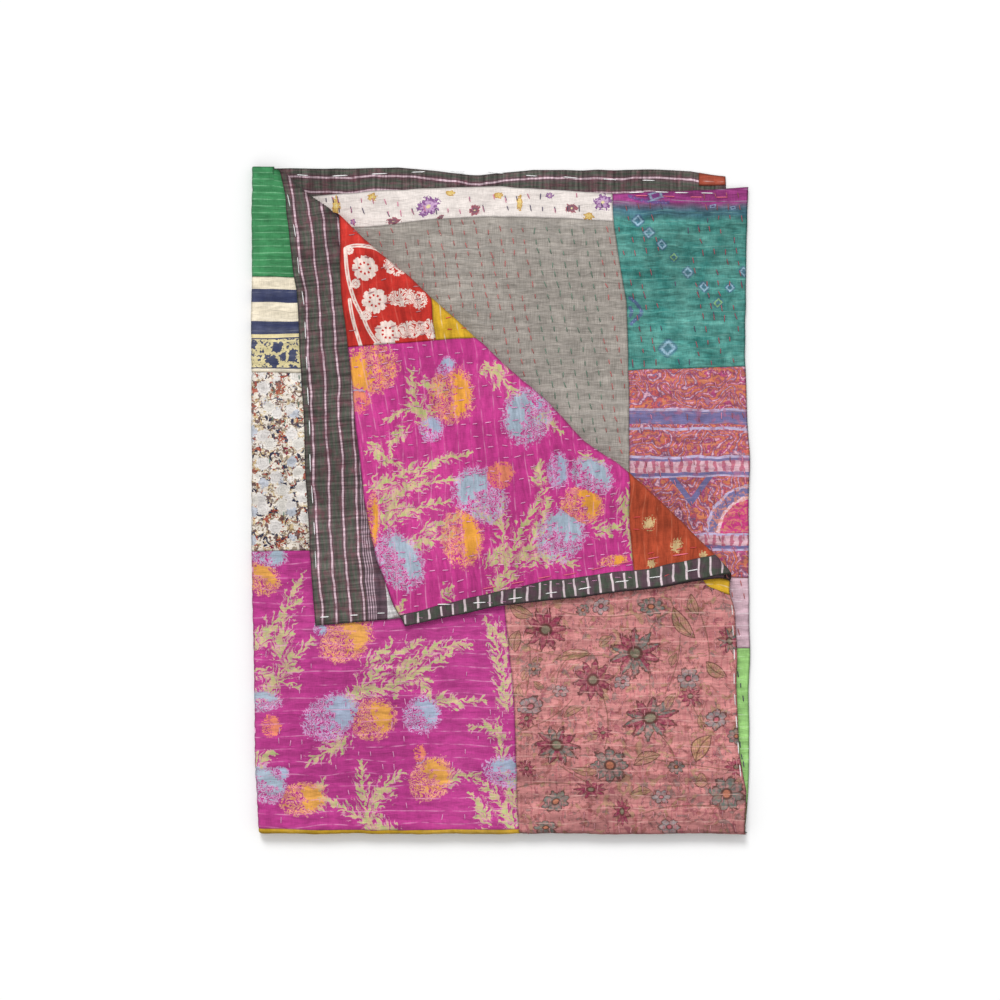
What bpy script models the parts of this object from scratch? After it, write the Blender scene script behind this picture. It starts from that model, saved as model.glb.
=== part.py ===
"""A hand-stitched patchwork throw, folded in four, with the corner of its two upper layers turned back.

The throw is one quilted sheet. It is folded top to bottom, then side to side, so that it lies as four layers.
Seen from above the last fold is on the left and the first one at the bottom, and the loose corners are at the
upper right. There the two upper layers are turned back together along one slanting crease.
"""

import math
from bisect import bisect_right

import bmesh
import bpy
from mathutils import Vector

# Sizes, in metres.
THICKNESS = 0.0020
FOLDED_WIDTH = 0.6472
FOLDED_LENGTH = 0.8690
FOLD_PITCH = 0.0045
REST_PITCH = 0.0034
PUFF_REACH = 0.045

# The stitching draws the cloth into shallow ridges that run across the throw.
RIDGE_SPACING = 0.0176
RIDGE_HEIGHT = 0.00035

# The turned corner: its crease, seen from above, and the spring of the cloth there.
CREASE_ANGLE = math.radians(-42.4)
CREASE_FROM_CENTRE = 0.1325
CREASE_RADIUS = 0.0023
CREASE_SETTLES = 0.040
WANDER_REACH = 0.030
SHOWN_PAST_CREASE = -0.030

# Where the crease strays from a straight line: metres along it, metres outwards.
CREASE_WANDER = (
    (0.000, -0.0050),
    (0.045, -0.0045),
    (0.080, 0.0005),
    (0.130, -0.0030),
    (0.215, 0.0018),
    (0.330, 0.0006),
    (0.350, 0.0025),
    (0.415, 0.0004),
    (0.460, 0.0025),
    (0.529, -0.0045),
    (0.598, 0.0072),
    (0.625, 0.0076),
    (0.706, 0.0050),
    (0.753, 0.0028),
    (0.780, -0.0010),
    (0.801, -0.0080),
)

# Each layer's hand-cut outline. top_edge is (distance from the left fold, height above the bottom fold), and
# side_edge is (height above the bottom fold, distance from the left fold).
LAYERS = {
    "first": {
        "top_edge": ((0.0, 0.867), (0.106, 0.869), (0.207, 0.865), (0.345, 0.870), (0.553, 0.880), (0.640, 0.881)),
        "side_edge": (
            (0.0, 0.640),
            (0.055, 0.643),
            (0.105, 0.634),
            (0.263, 0.629),
            (0.318, 0.6255),
            (0.498, 0.633),
            (0.770, 0.640),
            (0.880, 0.640),
        ),
    },
    "second": {
        "top_edge": (
            (0.0, 0.806),
            (0.137, 0.809),
            (0.219, 0.815),
            (0.489, 0.810),
            (0.568, 0.8015),
            (0.631, 0.785),
            (0.658, 0.772),
        ),
        "side_edge": (
            (0.0, 0.640),
            (0.300, 0.622),
            (0.380, 0.633),
            (0.500, 0.639),
            (0.645, 0.643),
            (0.711, 0.651),
            (0.771, 0.658),
        ),
    },
    "third": {
        "top_edge": ((0.0, 0.816), (0.077, 0.830), (0.157, 0.8363), (0.323, 0.8417), (0.469, 0.832), (0.645, 0.841)),
        "side_edge": (
            (0.0, 0.6416),
            (0.078, 0.6476),
            (0.490, 0.6470),
            (0.620, 0.6420),
            (0.841, 0.6455),
        ),
    },
    "fourth": {
        "top_edge": (
            (0.0, 0.867),
            (0.119, 0.865),
            (0.190, 0.867),
            (0.296, 0.856),
            (0.366, 0.864),
            (0.571, 0.863),
            (0.616, 0.855),
        ),
        "side_edge": ((0.0, 0.6416), (0.300, 0.635), (0.600, 0.630), (0.865, 0.6155)),
    },
}

# The sheet's grid: parts of each layer's width, and the steps round a fold.
COLUMN_FRACTIONS = (0.036, 0.075, 0.36, 0.68, 1.0)
STEPS_ROUND_FOLD = 6
STEPS_ROUND_CREASE = 5

# A grid point this near a crease line is taken to lie on it, which keeps slivers out.
CUT_REACH = 0.0009

CLOTH_COLOUR = (0.52, 0.10, 0.30, 1.0)

LEFT = -FOLDED_WIDTH / 2
BOTTOM = -FOLDED_LENGTH / 2
SIDE_FOLD_RADIUS = 1.5 * FOLD_PITCH
END_FOLD_RADIUS = 0.5 * FOLD_PITCH
HALF_THICKNESS = THICKNESS / 2
LEFT_OF_FLAT = LEFT + HALF_THICKNESS + SIDE_FOLD_RADIUS
BOTTOM_OF_FLAT = BOTTOM + HALF_THICKNESS + END_FOLD_RADIUS
LEVELS = {"first": 3, "second": 2, "third": 1, "fourth": 0}

CREASE_ALONG = Vector((math.cos(CREASE_ANGLE), math.sin(CREASE_ANGLE)))
CREASE_OUTWARD = Vector((-math.sin(CREASE_ANGLE), math.cos(CREASE_ANGLE)))
CREASE_START = 0.5
CREASE_AXIS = CREASE_FROM_CENTRE - HALF_THICKNESS - REST_PITCH - CREASE_RADIUS


def read(table, at):
    """The second column of a table at a value of the first, on straight lines between its rows."""
    keys = [row[0] for row in table]
    i = min(max(bisect_right(keys, at) - 1, 0), len(table) - 2)
    (a, low), (b, high) = table[i], table[i + 1]
    share = min(max((at - a) / (b - a), 0.0), 1.0)
    return low + (high - low) * share


def ease(t):
    """From 0 to 1 as t goes from 0 to 1, level at both ends."""
    t = min(max(t, 0.0), 1.0)
    return t * t * (3 - 2 * t)


def layer_at(right, up):
    """The layer that holds a point of the flat sheet, by the side of each fold that it is on."""
    if up:
        return "first" if right else "fourth"
    return "second" if right else "third"


def stops(fractions, steps):
    """Grid lines over one direction of the sheet: ("flat", side, fraction) or ("round", angle, 0)."""
    quarter = math.pi / 2
    low = [("flat", -1, f) for f in reversed(fractions)]
    turn = [("round", -quarter + math.pi * i / steps, 0.0) for i in range(steps + 1)]
    high = [("flat", 1, f) for f in fractions]
    return low + turn + high


def pitch_at(x, y):
    """Between the middles of two layers: more beside a fold, where the cloth springs."""
    puff = max(1 - ease(x / PUFF_REACH), 1 - ease(y / PUFF_REACH))
    return REST_PITCH + (FOLD_PITCH - REST_PITCH) * puff


def from_crease(x, y):
    """A point's distance along the crease, and beyond its axis."""
    place = Vector((LEFT_OF_FLAT + x, BOTTOM_OF_FLAT + y))
    return CREASE_ALONG.dot(place) + CREASE_START, CREASE_OUTWARD.dot(place) - CREASE_AXIS


def ridge(layer, x, y, row):
    """The height that the stitching gives a row of the sheet, up and down in turn, where the layer shows."""
    _, beyond = from_crease(x, y)
    shows = layer == "first" or (layer in ("second", "third") and beyond > SHOWN_PAST_CREASE)
    return (RIDGE_HEIGHT if row % 2 else -RIDGE_HEIGHT) if shows else 0.0


def folded_point(column, row, row_number):
    """Where a point of the sheet lies once the throw is folded in four, before its corner is turned back."""
    row_kind, row_side, row_fraction = row
    column_kind, column_side, column_fraction = column
    if row_kind == "round":
        y = -END_FOLD_RADIUS * math.cos(row_side)
        from_middle = FOLD_PITCH + END_FOLD_RADIUS * math.sin(row_side)
        up = row_side > 0
    else:
        y = None
        up = row_side > 0
        from_middle = (1.5 if up else 0.5) * FOLD_PITCH
    if column_kind == "round":
        x = -from_middle * math.cos(column_side)
        across_middle = from_middle * math.sin(column_side)
        right = column_side > 0
    else:
        right = column_side > 0
        x = column_fraction * read(LAYERS[layer_at(right, up)]["side_edge"], row_fraction * FOLDED_LENGTH)
        x -= column_fraction * (SIDE_FOLD_RADIUS + HALF_THICKNESS)
        across_middle = from_middle if right else -from_middle
    layer = layer_at(right, up)
    if y is None:
        edge = read(LAYERS[layer]["top_edge"], x + SIDE_FOLD_RADIUS)
        y = row_fraction * (edge - END_FOLD_RADIUS - HALF_THICKNESS)
    level = 1.5 + across_middle / FOLD_PITCH
    z = HALF_THICKNESS + level * pitch_at(x, y)
    if "round" not in (row_kind, column_kind):
        z += ridge(layer, x, y, row_number)
    return Vector((LEFT_OF_FLAT + x, BOTTOM_OF_FLAT + y, z))


def folded_sheet():
    """The throw's middle surface, folded in four, as a mesh whose rows are the ridges of the stitching."""
    ridges = round(2 * FOLDED_LENGTH / RIDGE_SPACING)
    columns = stops(COLUMN_FRACTIONS, STEPS_ROUND_FOLD)
    rows = stops([(i + 1) / ridges for i in range(ridges)], STEPS_ROUND_FOLD)
    sheet = bmesh.new()
    bmesh.ops.create_grid(sheet, x_segments=len(columns) - 1, y_segments=len(rows) - 1, size=1.0)
    for vertex in sheet.verts:
        i = round((vertex.co.x + 1) / 2 * (len(columns) - 1))
        j = round((vertex.co.y + 1) / 2 * (len(rows) - 1))
        vertex.co = folded_point(columns[i], rows[j], j)
    return sheet


def layer_height(name):
    return HALF_THICKNESS + LEVELS[name] * REST_PITCH


def cut_along_crease(sheet):
    """Lines of points where the two upper layers will bend."""
    axis_height = layer_height("first") + CREASE_RADIUS
    for name in ("first", "second"):
        height = layer_height(name)
        radius = axis_height - height
        offsets = [radius * math.pi * i / STEPS_ROUND_CREASE for i in range(STEPS_ROUND_CREASE + 1)]
        for offset in [-WANDER_REACH, *offsets, offsets[-1] + CREASE_SETTLES]:
            faces = [f for f in sheet.faces if abs(f.calc_center_median().z - height) < REST_PITCH / 4]
            edges = {e for f in faces for e in f.edges}
            points = {v for f in faces for v in f.verts}
            bmesh.ops.bisect_plane(
                sheet,
                geom=[*points, *edges, *faces],
                plane_co=(CREASE_OUTWARD * (CREASE_AXIS + offset)).to_3d(),
                plane_no=CREASE_OUTWARD.to_3d(),
                dist=CUT_REACH,
            )


def turned_point(place):
    """Where a point of the two upper layers goes as their corner is turned back over the crease."""
    flat = place.to_2d()
    along = CREASE_ALONG.dot(flat)
    beyond = CREASE_OUTWARD.dot(flat) - CREASE_AXIS
    axis_height = layer_height("first") + CREASE_RADIUS
    radius = axis_height - place.z
    if beyond <= 0:
        off_axis, z = beyond, place.z
    elif beyond < math.pi * radius:
        off_axis = radius * math.sin(beyond / radius)
        z = axis_height - radius * math.cos(beyond / radius)
    else:
        off_axis = math.pi * radius - beyond
        settled = ease(-off_axis / CREASE_SETTLES) * (2 * CREASE_RADIUS - REST_PITCH)
        z = axis_height + radius - settled
    near = 1 - ease(abs(off_axis) / WANDER_REACH)
    off_axis += near * read(CREASE_WANDER, along + CREASE_START)
    moved = CREASE_ALONG * along + CREASE_OUTWARD * (CREASE_AXIS + off_axis)
    return Vector((moved.x, moved.y, z))


def turn_corner_back(sheet):
    between_layers = HALF_THICKNESS + 1.5 * REST_PITCH
    for vertex in sheet.verts:
        x, y, z = vertex.co
        clear_of_folds = x > LEFT_OF_FLAT + PUFF_REACH / 2 and y > BOTTOM_OF_FLAT + PUFF_REACH
        if z > between_layers and clear_of_folds:
            vertex.co = turned_point(vertex.co)


def cloth_material():
    material = bpy.data.materials.new("quilted cotton")
    material.use_nodes = True
    finish = material.node_tree.nodes["Principled BSDF"]
    finish.inputs["Base Color"].default_value = CLOTH_COLOUR
    finish.inputs["Roughness"].default_value = 0.85
    finish.inputs["Metallic"].default_value = 0.0
    return material


def clear_scene():
    for old in list(bpy.data.objects):
        bpy.data.objects.remove(old)


def make_throw():
    sheet = folded_sheet()
    cut_along_crease(sheet)
    turn_corner_back(sheet)
    bmesh.ops.triangulate(sheet, faces=[f for f in sheet.faces if len(f.verts) > 4])
    mesh = bpy.data.meshes.new("patchwork_throw")
    sheet.to_mesh(mesh)
    sheet.free()
    mesh.shade_smooth()
    throw = bpy.data.objects.new("patchwork_throw", mesh)
    collection = bpy.data.collections.new("patchwork_throw")
    bpy.context.scene.collection.children.link(collection)
    collection.objects.link(throw)
    throw.data.materials.append(cloth_material())
    cloth = throw.modifiers.new("two plies", "SOLIDIFY")
    cloth.thickness = THICKNESS
    cloth.offset = 0.0
    cloth.use_even_offset = True
    return throw


clear_scene()
make_throw()
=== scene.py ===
# %% [markdown]
# # A folded patchwork throw
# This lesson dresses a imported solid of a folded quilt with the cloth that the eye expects: printed patches,
# a striped backing, rows of running stitch, and the small ridges that the stitching pulls up. The solid says
# where the throw lies. Everything here is laid on the same folds, so nothing has to be fitted.

# %% The fixed frame
import math

import bmesh
import bpy
import numpy as np
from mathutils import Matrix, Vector


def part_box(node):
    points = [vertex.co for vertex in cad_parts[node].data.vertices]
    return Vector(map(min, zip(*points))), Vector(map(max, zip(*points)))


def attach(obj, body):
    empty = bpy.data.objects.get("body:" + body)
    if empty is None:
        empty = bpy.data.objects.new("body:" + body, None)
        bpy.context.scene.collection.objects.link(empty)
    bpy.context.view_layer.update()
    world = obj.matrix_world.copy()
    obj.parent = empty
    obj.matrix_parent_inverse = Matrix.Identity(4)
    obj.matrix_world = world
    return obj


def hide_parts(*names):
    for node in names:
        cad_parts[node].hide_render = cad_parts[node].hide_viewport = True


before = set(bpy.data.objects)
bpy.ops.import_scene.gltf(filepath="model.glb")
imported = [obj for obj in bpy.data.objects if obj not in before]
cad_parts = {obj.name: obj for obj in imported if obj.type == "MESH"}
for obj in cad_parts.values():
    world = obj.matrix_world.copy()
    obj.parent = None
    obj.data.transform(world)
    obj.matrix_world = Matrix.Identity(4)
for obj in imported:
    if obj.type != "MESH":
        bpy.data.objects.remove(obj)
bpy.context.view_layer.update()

NODE = "patchwork_throw"
low_corner, high_corner = (Vector(corner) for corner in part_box(NODE))
print("throw as packed, mm:", [round(1000 * side) for side in high_corner - low_corner])

# %% [markdown]
# ## How the throw is folded
# A real quilt is one flat sheet, so every patch is easiest to describe on the flat cloth, and one function
# then folds it. The cloth has two coordinates: p runs to the right from the side fold and q upwards from the
# bottom fold, both in metres. A third number, lift, is the height above the middle of the cloth on its
# patchwork side. The function bends the bottom fold first and the side fold second, as hands would.

# %% Sizes of the folds, the same as the solid's
THICKNESS = 0.0020
FOLD_PITCH = 0.0045
REST_PITCH = 0.0034
PUFF_REACH = 0.045
QUARTER = math.pi / 2
HALF = THICKNESS / 2
SIDE_RADIUS = 1.5 * FOLD_PITCH
END_RADIUS = 0.5 * FOLD_PITCH
FLAT_LEFT = low_corner.x + HALF + SIDE_RADIUS
FLAT_BOTTOM = low_corner.y + HALF + END_RADIUS

CREASE_ANGLE = math.radians(-42.4)
CREASE_FROM_CENTRE = 0.1325
CREASE_RADIUS = 0.0023
CREASE_SETTLES = 0.040
WANDER_REACH = 0.030
CREASE_ALONG = (math.cos(CREASE_ANGLE), math.sin(CREASE_ANGLE))
CREASE_OUTWARD = (-math.sin(CREASE_ANGLE), math.cos(CREASE_ANGLE))
CREASE_AXIS = CREASE_FROM_CENTRE - HALF - REST_PITCH - CREASE_RADIUS
AXIS_HEIGHT = HALF + 3 * REST_PITCH + CREASE_RADIUS

# Metres along the crease, and how far it strays outwards there.
CREASE_WANDER = (
    (-0.500, -0.0050),
    (-0.455, -0.0045),
    (-0.420, 0.0005),
    (-0.370, -0.0030),
    (-0.285, 0.0018),
    (-0.170, 0.0006),
    (-0.150, 0.0025),
    (-0.085, 0.0004),
    (-0.040, 0.0025),
    (0.029, -0.0045),
    (0.098, 0.0072),
    (0.125, 0.0076),
    (0.206, 0.0050),
    (0.253, 0.0028),
    (0.280, -0.0010),
    (0.301, -0.0080),
)


# %% Reading a table, and a soft step
def read(table, at):
    """A table's second column, on straight lines between its rows, at values of its first."""
    keys, values = zip(*table)
    return np.interp(at, keys, values)


def ease(t):
    """From 0 to 1 as t goes from 0 to 1, level at both ends."""
    t = np.clip(t, 0, 1)
    return t * t * (3 - 2 * t)


# %% Slow noise
RANDOM_CELLS = 64
CELL_SHIFT = 1000.0


def slow_noise(x, y, size, seed):
    """Smooth random values from -1 to 1, whose hills are about size metres wide."""
    values = np.random.default_rng(seed).uniform(-1, 1, (RANDOM_CELLS, RANDOM_CELLS))
    u, v = np.asarray(x) / size + CELL_SHIFT, np.asarray(y) / size + CELL_SHIFT
    i, j = np.floor(u).astype(int), np.floor(v).astype(int)
    s, t = ease(u - i), ease(v - j)
    i, j, i2, j2 = i % RANDOM_CELLS, j % RANDOM_CELLS, (i + 1) % RANDOM_CELLS, (j + 1) % RANDOM_CELLS
    lower = values[i, j] * (1 - s) + values[i2, j] * s
    upper = values[i, j2] * (1 - s) + values[i2, j2] * s
    return lower * (1 - t) + upper * t


# %% How the folded stack has shifted
DRIFT_REACH = 0.26
LEFT_DRIFT = (
    (-0.435, 0.0095), (-0.395, 0.0070), (-0.33, 0.0045), (-0.22, 0.0028), (-0.10, 0.0), (0.44, 0.0)
)
WAVES = ((0.050, 0.0012), (0.021, 0.0006))
WAVE_SEEDS = (11, 21)


def drift(x, y):
    """Handling has shifted the whole stack a little, most at the lower left, and left every edge wavy."""
    to_left = 1 - ease((x - low_corner.x) / DRIFT_REACH)
    dx, dy = read(LEFT_DRIFT, y) * to_left, np.zeros_like(x)
    for seed, (size, reach) in enumerate(WAVES):
        dx = dx + reach * slow_noise(x, y, size, WAVE_SEEDS[0] + seed)
        dy = dy + reach * slow_noise(x, y, size, WAVE_SEEDS[1] + seed)
    return dx, dy


# %% Folding the cloth
def fold_in_four(p, q, lift):
    """Where flat points lie: across, up, the height of the cloth's middle, and the lift above it."""
    end_turn = np.clip(q / END_RADIUS, -QUARTER, QUARTER)
    up = np.maximum(np.abs(q) - END_RADIUS * QUARTER, 0) - (END_RADIUS + lift) * np.cos(end_turn)
    reach = FOLD_PITCH + END_RADIUS * np.sin(end_turn)
    outward = lift * np.sin(end_turn)
    side_turn = np.clip(p / reach, -QUARTER, QUARTER)
    across = np.maximum(np.abs(p) - reach * QUARTER, 0) - (reach + outward) * np.cos(side_turn)
    puff = 1 - np.minimum(ease(across / PUFF_REACH), ease(up / PUFF_REACH))
    pitch = REST_PITCH + (FOLD_PITCH - REST_PITCH) * puff
    middle = HALF + (1.5 + reach * np.sin(side_turn) / FOLD_PITCH) * pitch
    return FLAT_LEFT + across, FLAT_BOTTOM + up, middle, outward * np.sin(side_turn)


def past_crease(x, y):
    """How far a place, before the corner is turned back, lies beyond the crease's axis."""
    return x * CREASE_OUTWARD[0] + y * CREASE_OUTWARD[1] - CREASE_AXIS


def folded(p, q, lift):
    """Points of the flat cloth on the throw as it lies, its two upper layers' corner turned back."""
    x, y, middle, rise = fold_in_four(p, q, lift)
    along = x * CREASE_ALONG[0] + y * CREASE_ALONG[1]
    beyond = past_crease(x, y)
    loose = (p > 0) & (middle > HALF + 1.5 * REST_PITCH)
    loose &= (x > FLAT_LEFT + PUFF_REACH / 2) & (y > FLAT_BOTTOM + PUFF_REACH)
    radius = np.where(loose, AXIS_HEIGHT - middle, CREASE_RADIUS)
    turn = np.clip(beyond / radius, 0, math.pi)
    past = np.maximum(beyond - math.pi * radius, 0)
    off_axis = np.where(beyond <= 0, beyond, (radius - rise) * np.sin(turn) - past)
    settled = ease(past / CREASE_SETTLES) * (2 * CREASE_RADIUS - REST_PITCH)
    bent = AXIS_HEIGHT - (radius - rise) * np.cos(turn) - settled
    off_axis = off_axis + (1 - ease(np.abs(off_axis) / WANDER_REACH)) * read(CREASE_WANDER, along)
    turned_x = CREASE_ALONG[0] * along + CREASE_OUTWARD[0] * (CREASE_AXIS + off_axis)
    turned_y = CREASE_ALONG[1] * along + CREASE_OUTWARD[1] * (CREASE_AXIS + off_axis)
    z = np.where(loose & (beyond > 0), bent, middle + rise)
    x, y = np.where(loose, turned_x, x), np.where(loose, turned_y, y)
    dx, dy = drift(x, y)
    return np.stack([x + dx, y + dy, z], axis=-1)


# %% [markdown]
# ## Naming a place on the throw
# A maker would say "on the top layer, 30 cm from the fold". So each layer has a name, counted from the top,
# and a place on it is (across, up): metres from the left fold and from the bottom fold, as the layer lies
# before its corner is turned back. A motif's place is read from the picture instead, in its pixels.

# %% From a layer to the cloth
FIRST, SECOND, THIRD, FOURTH = (1, 1), (1, -1), (-1, -1), (-1, 1)
UP_START = END_RADIUS + HALF - END_RADIUS * QUARTER


def across_start(layer):
    """Where p is 0, in a layer's own measure from the left fold."""
    return SIDE_RADIUS + HALF - (FOLD_PITCH + layer[1] * END_RADIUS) * QUARTER


def on_cloth(layer, across, up):
    """A place on a layer, in metres from the two folds, as (p, q) on the flat cloth."""
    return layer[0] * (across - across_start(layer)), layer[1] * (up - UP_START)


# %% From the picture to the cloth
TURNED = True
PIXEL = 0.001304
LEFT_PIXEL, BOTTOM_PIXEL = 252, 832
PICTURE_MIDDLE = 499.5


def seen_at(layer, x, y, turned=False):
    """(p, q) of what shows at a pixel. On the turned corner the place is mirrored at its crease."""
    across, up = (x - LEFT_PIXEL) * PIXEL, (BOTTOM_PIXEL - y) * PIXEL
    moved = drift(low_corner.x + across, low_corner.y + up)[0]
    across -= drift(low_corner.x + across - moved, low_corner.y + up)[0]
    if turned:
        radius = CREASE_RADIUS + (0 if layer == FIRST else REST_PITCH)
        short = past_crease(low_corner.x + across, low_corner.y + up)
        across += (math.pi * radius - 2 * short) * CREASE_OUTWARD[0]
        up += (math.pi * radius - 2 * short) * CREASE_OUTWARD[1]
    return on_cloth(layer, across, up)


# %% [markdown]
# ## The outline and the seams
# The four layers are the four quarters of one sheet, and each edge was cut by hand, so none is straight.
# An edge that runs up a layer is a table of (up, across), and one that runs across it is (across, up).

# %% Hand-cut edges of each layer, the same as the solid's
TOP_EDGES = {
    FIRST: ((0.0, 0.867), (0.106, 0.869), (0.207, 0.865), (0.345, 0.870), (0.553, 0.880), (0.640, 0.881)),
    SECOND: (
        (0.0, 0.806),
        (0.137, 0.809),
        (0.219, 0.815),
        (0.489, 0.810),
        (0.568, 0.8015),
        (0.631, 0.785),
        (0.658, 0.772),
    ),
    THIRD: ((0.0, 0.816), (0.077, 0.830), (0.157, 0.8363), (0.323, 0.8417), (0.469, 0.832), (0.645, 0.841)),
    FOURTH: (
        (0.0, 0.867),
        (0.119, 0.865),
        (0.190, 0.867),
        (0.296, 0.856),
        (0.366, 0.864),
        (0.571, 0.863),
        (0.616, 0.855),
    ),
}
SIDE_EDGES = {
    FIRST: (
        (0.0, 0.640),
        (0.055, 0.643),
        (0.105, 0.634),
        (0.263, 0.629),
        (0.318, 0.6255),
        (0.498, 0.633),
        (0.770, 0.640),
        (0.880, 0.640),
    ),
    SECOND: (
        (0.0, 0.640),
        (0.300, 0.622),
        (0.380, 0.633),
        (0.500, 0.639),
        (0.645, 0.643),
        (0.711, 0.651),
        (0.771, 0.658),
    ),
    THIRD: ((0.0, 0.6416), (0.078, 0.6476), (0.490, 0.6470), (0.620, 0.6420), (0.841, 0.6455)),
    FOURTH: ((0.0, 0.6416), (0.300, 0.635), (0.600, 0.630), (0.865, 0.6155)),
}


# %% Edges on the flat cloth
def running_up(layer, edge):
    """An edge that runs up a layer, as rows of (q, p)."""
    rows = edge if isinstance(edge, tuple) else ((0.0, edge), (1.0, edge))
    return sorted(on_cloth(layer, across, up)[::-1] for up, across in rows)


def running_across(layer, edge):
    """An edge that runs across a layer, as rows of (p, q)."""
    rows = edge if isinstance(edge, tuple) else ((0.0, edge), (1.0, edge))
    return sorted(on_cloth(layer, across, up) for across, up in rows)


EAST = running_up(SECOND, SIDE_EDGES[SECOND]) + running_up(FIRST, SIDE_EDGES[FIRST])
WEST = running_up(THIRD, SIDE_EDGES[THIRD]) + running_up(FOURTH, SIDE_EDGES[FOURTH])
NORTH = running_across(FOURTH, TOP_EDGES[FOURTH]) + running_across(FIRST, TOP_EDGES[FIRST])
SOUTH = running_across(THIRD, TOP_EDGES[THIRD]) + running_across(SECOND, TOP_EDGES[SECOND])
print("flat throw, m:", round(EAST[-1][1] - WEST[-1][1], 3), "x", round(NORTH[0][1] - SOUTH[0][1], 3))

# %% [markdown]
# ## Relief
# Running stitches go down and up about every 17 mm, and each pulls the cloth in, so that it puffs up between
# them into ridges that line up from row to row. That is what makes a hand-stitched quilt look soft. It is
# real relief here, on the parts that show: a wave along each row of stitches, weaker along the rows
# themselves, bent by slow noise so that no ridge is straight. Creases from storage are listed one by one.

# %% Rows of stitches, and the ridges between stitches
STITCH_PITCH = 0.0175
ROW_SPACING = 0.0155
RIDGE_HEIGHT = 0.00080
PUFF_BETWEEN_ROWS = 0.00022
SLOW_SWELL = 0.00055
LOWEST = -0.00035
THIRD_LEAN = 0.19
THIRD_CLOSER = 0.20

# How far a row or a stitch strays, in rows or stitches; the size of the bends in metres; and a seed.
ROW_BENDS = ((0.40, 0.16, 3), (0.12, 0.05, 4))
STITCH_BENDS = ((0.55, 0.20, 1), (0.18, 0.045, 2))


def bent_by(bends, p, q):
    """Noise of several sizes, added up."""
    return sum(reach * slow_noise(p, q, size, seed) for reach, size, seed in bends)


def stitch_phase(p, q):
    """Counts rows of stitches across the cloth, and stitches along a row. The third layer's rows lean."""
    on_third = np.where(p < 0, np.minimum(q, 0), 0)
    leaning, closer = p + THIRD_LEAN * on_third, q + THIRD_CLOSER * on_third
    row = leaning / ROW_SPACING + bent_by(ROW_BENDS, p, q)
    return row, closer / STITCH_PITCH + bent_by(STITCH_BENDS, p, q)


# Creases pressed in by storage: layer, start and end in the picture's pixels, half width and height in
# metres.
CREASES = (
    (FIRST, (515, 778), (606, 775), 0.0035, -0.0006),
    (FIRST, (600, 775), (745, 782), 0.0045, -0.0005),
    (FIRST, (520, 801), (745, 793), 0.0060, 0.0007),
    (FIRST, (520, 700), (640, 657), 0.0080, 0.0006),
    (FIRST, (262, 700), (500, 690), 0.0070, 0.0005),
    (FIRST, (258, 782), (505, 771), 0.0060, -0.0005),
    (THIRD, (640, 225), (744, 219), 0.0040, 0.0006),
    (THIRD, (632, 262), (742, 258), 0.0050, -0.0006),
    (THIRD, (630, 330), (744, 322), 0.0050, 0.0006),
    (THIRD, (632, 395), (745, 388), 0.0050, -0.0005),
    (THIRD, (640, 463), (746, 459), 0.0045, 0.0007),
    (THIRD, (690, 536), (746, 534), 0.0040, 0.0006),
    (THIRD, (420, 240), (600, 262), 0.0070, 0.0004),
)
CREASE_FADES = 0.03
CREASE_STRAYS = 0.003


def creases(p, q):
    """The height that the storage creases add to the cloth, in metres."""
    height = np.zeros_like(p)
    for layer, start, end, width, rise in CREASES:
        a = np.array(seen_at(layer, *start))
        b = np.array(seen_at(layer, *end))
        length = np.linalg.norm(b - a)
        run = (b - a) / length
        along = (p - a[0]) * run[0] + (q - a[1]) * run[1]
        away = (q - a[1]) * run[0] - (p - a[0]) * run[1] + CREASE_STRAYS * slow_noise(p, q, 0.04, 7)
        fade = ease(along / CREASE_FADES) * ease((length - along) / CREASE_FADES)
        height = height + rise * fade * np.exp(-((away / width) ** 2))
    return height


# %% Where the cloth is free to puff
FREE_FADES = 0.018
FREE_LEFT, FREE_BELOW, END_STRIP, SIDE_STRIP, TOP_STRIP = 0.105, 0.385, 0.745, 0.600, 0.810


def free_to_puff(p, q, back):
    """1 where this face of the cloth shows, and 0 where it lies between layers."""
    around = (np.where(p > 0, 1, -1), np.where(q > 0, 1, -1))
    across = np.abs(p) + SIDE_RADIUS + HALF - (FOLD_PITCH + around[1] * END_RADIUS) * QUARTER
    up = np.abs(q) + UP_START
    turned = past_crease(low_corner.x + across, low_corner.y + up)
    first, second = (p > 0) & (q > 0), (p > 0) & (q <= 0)
    third, fourth = (p <= 0) & (q <= 0), (p <= 0) & (q > 0)
    past_axis = ease(turned / FREE_FADES)
    if back:
        high = ease((up - END_STRIP) / FREE_FADES)
        return np.where(first, past_axis * high, np.where(fourth, ease((up - TOP_STRIP) / FREE_FADES), 0))
    shown = np.maximum(ease((FREE_LEFT - across) / FREE_FADES), ease((FREE_BELOW - up) / FREE_FADES))
    shown = shown * ease(-turned / FREE_FADES)
    strip = np.maximum(past_axis, ease((across - SIDE_STRIP) / FREE_FADES))
    wrapped = ease(1 + p / SIDE_RADIUS) * ease(1 - np.maximum(-q, 0) / END_RADIUS)
    shown = np.where(first, shown, np.where(fourth, wrapped * (up < FREE_BELOW), 0))
    return np.where(third, strip, np.where(second, past_axis, shown))


# %% The relief itself
ROUNDNESS = 0.8
RIDGE_FOOT = 0.3
EVEN_STRENGTH, UNEVEN_STRENGTH = 0.75, 0.45
AT_ROWS, OFF_ROWS = 0.65, 0.35


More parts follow.
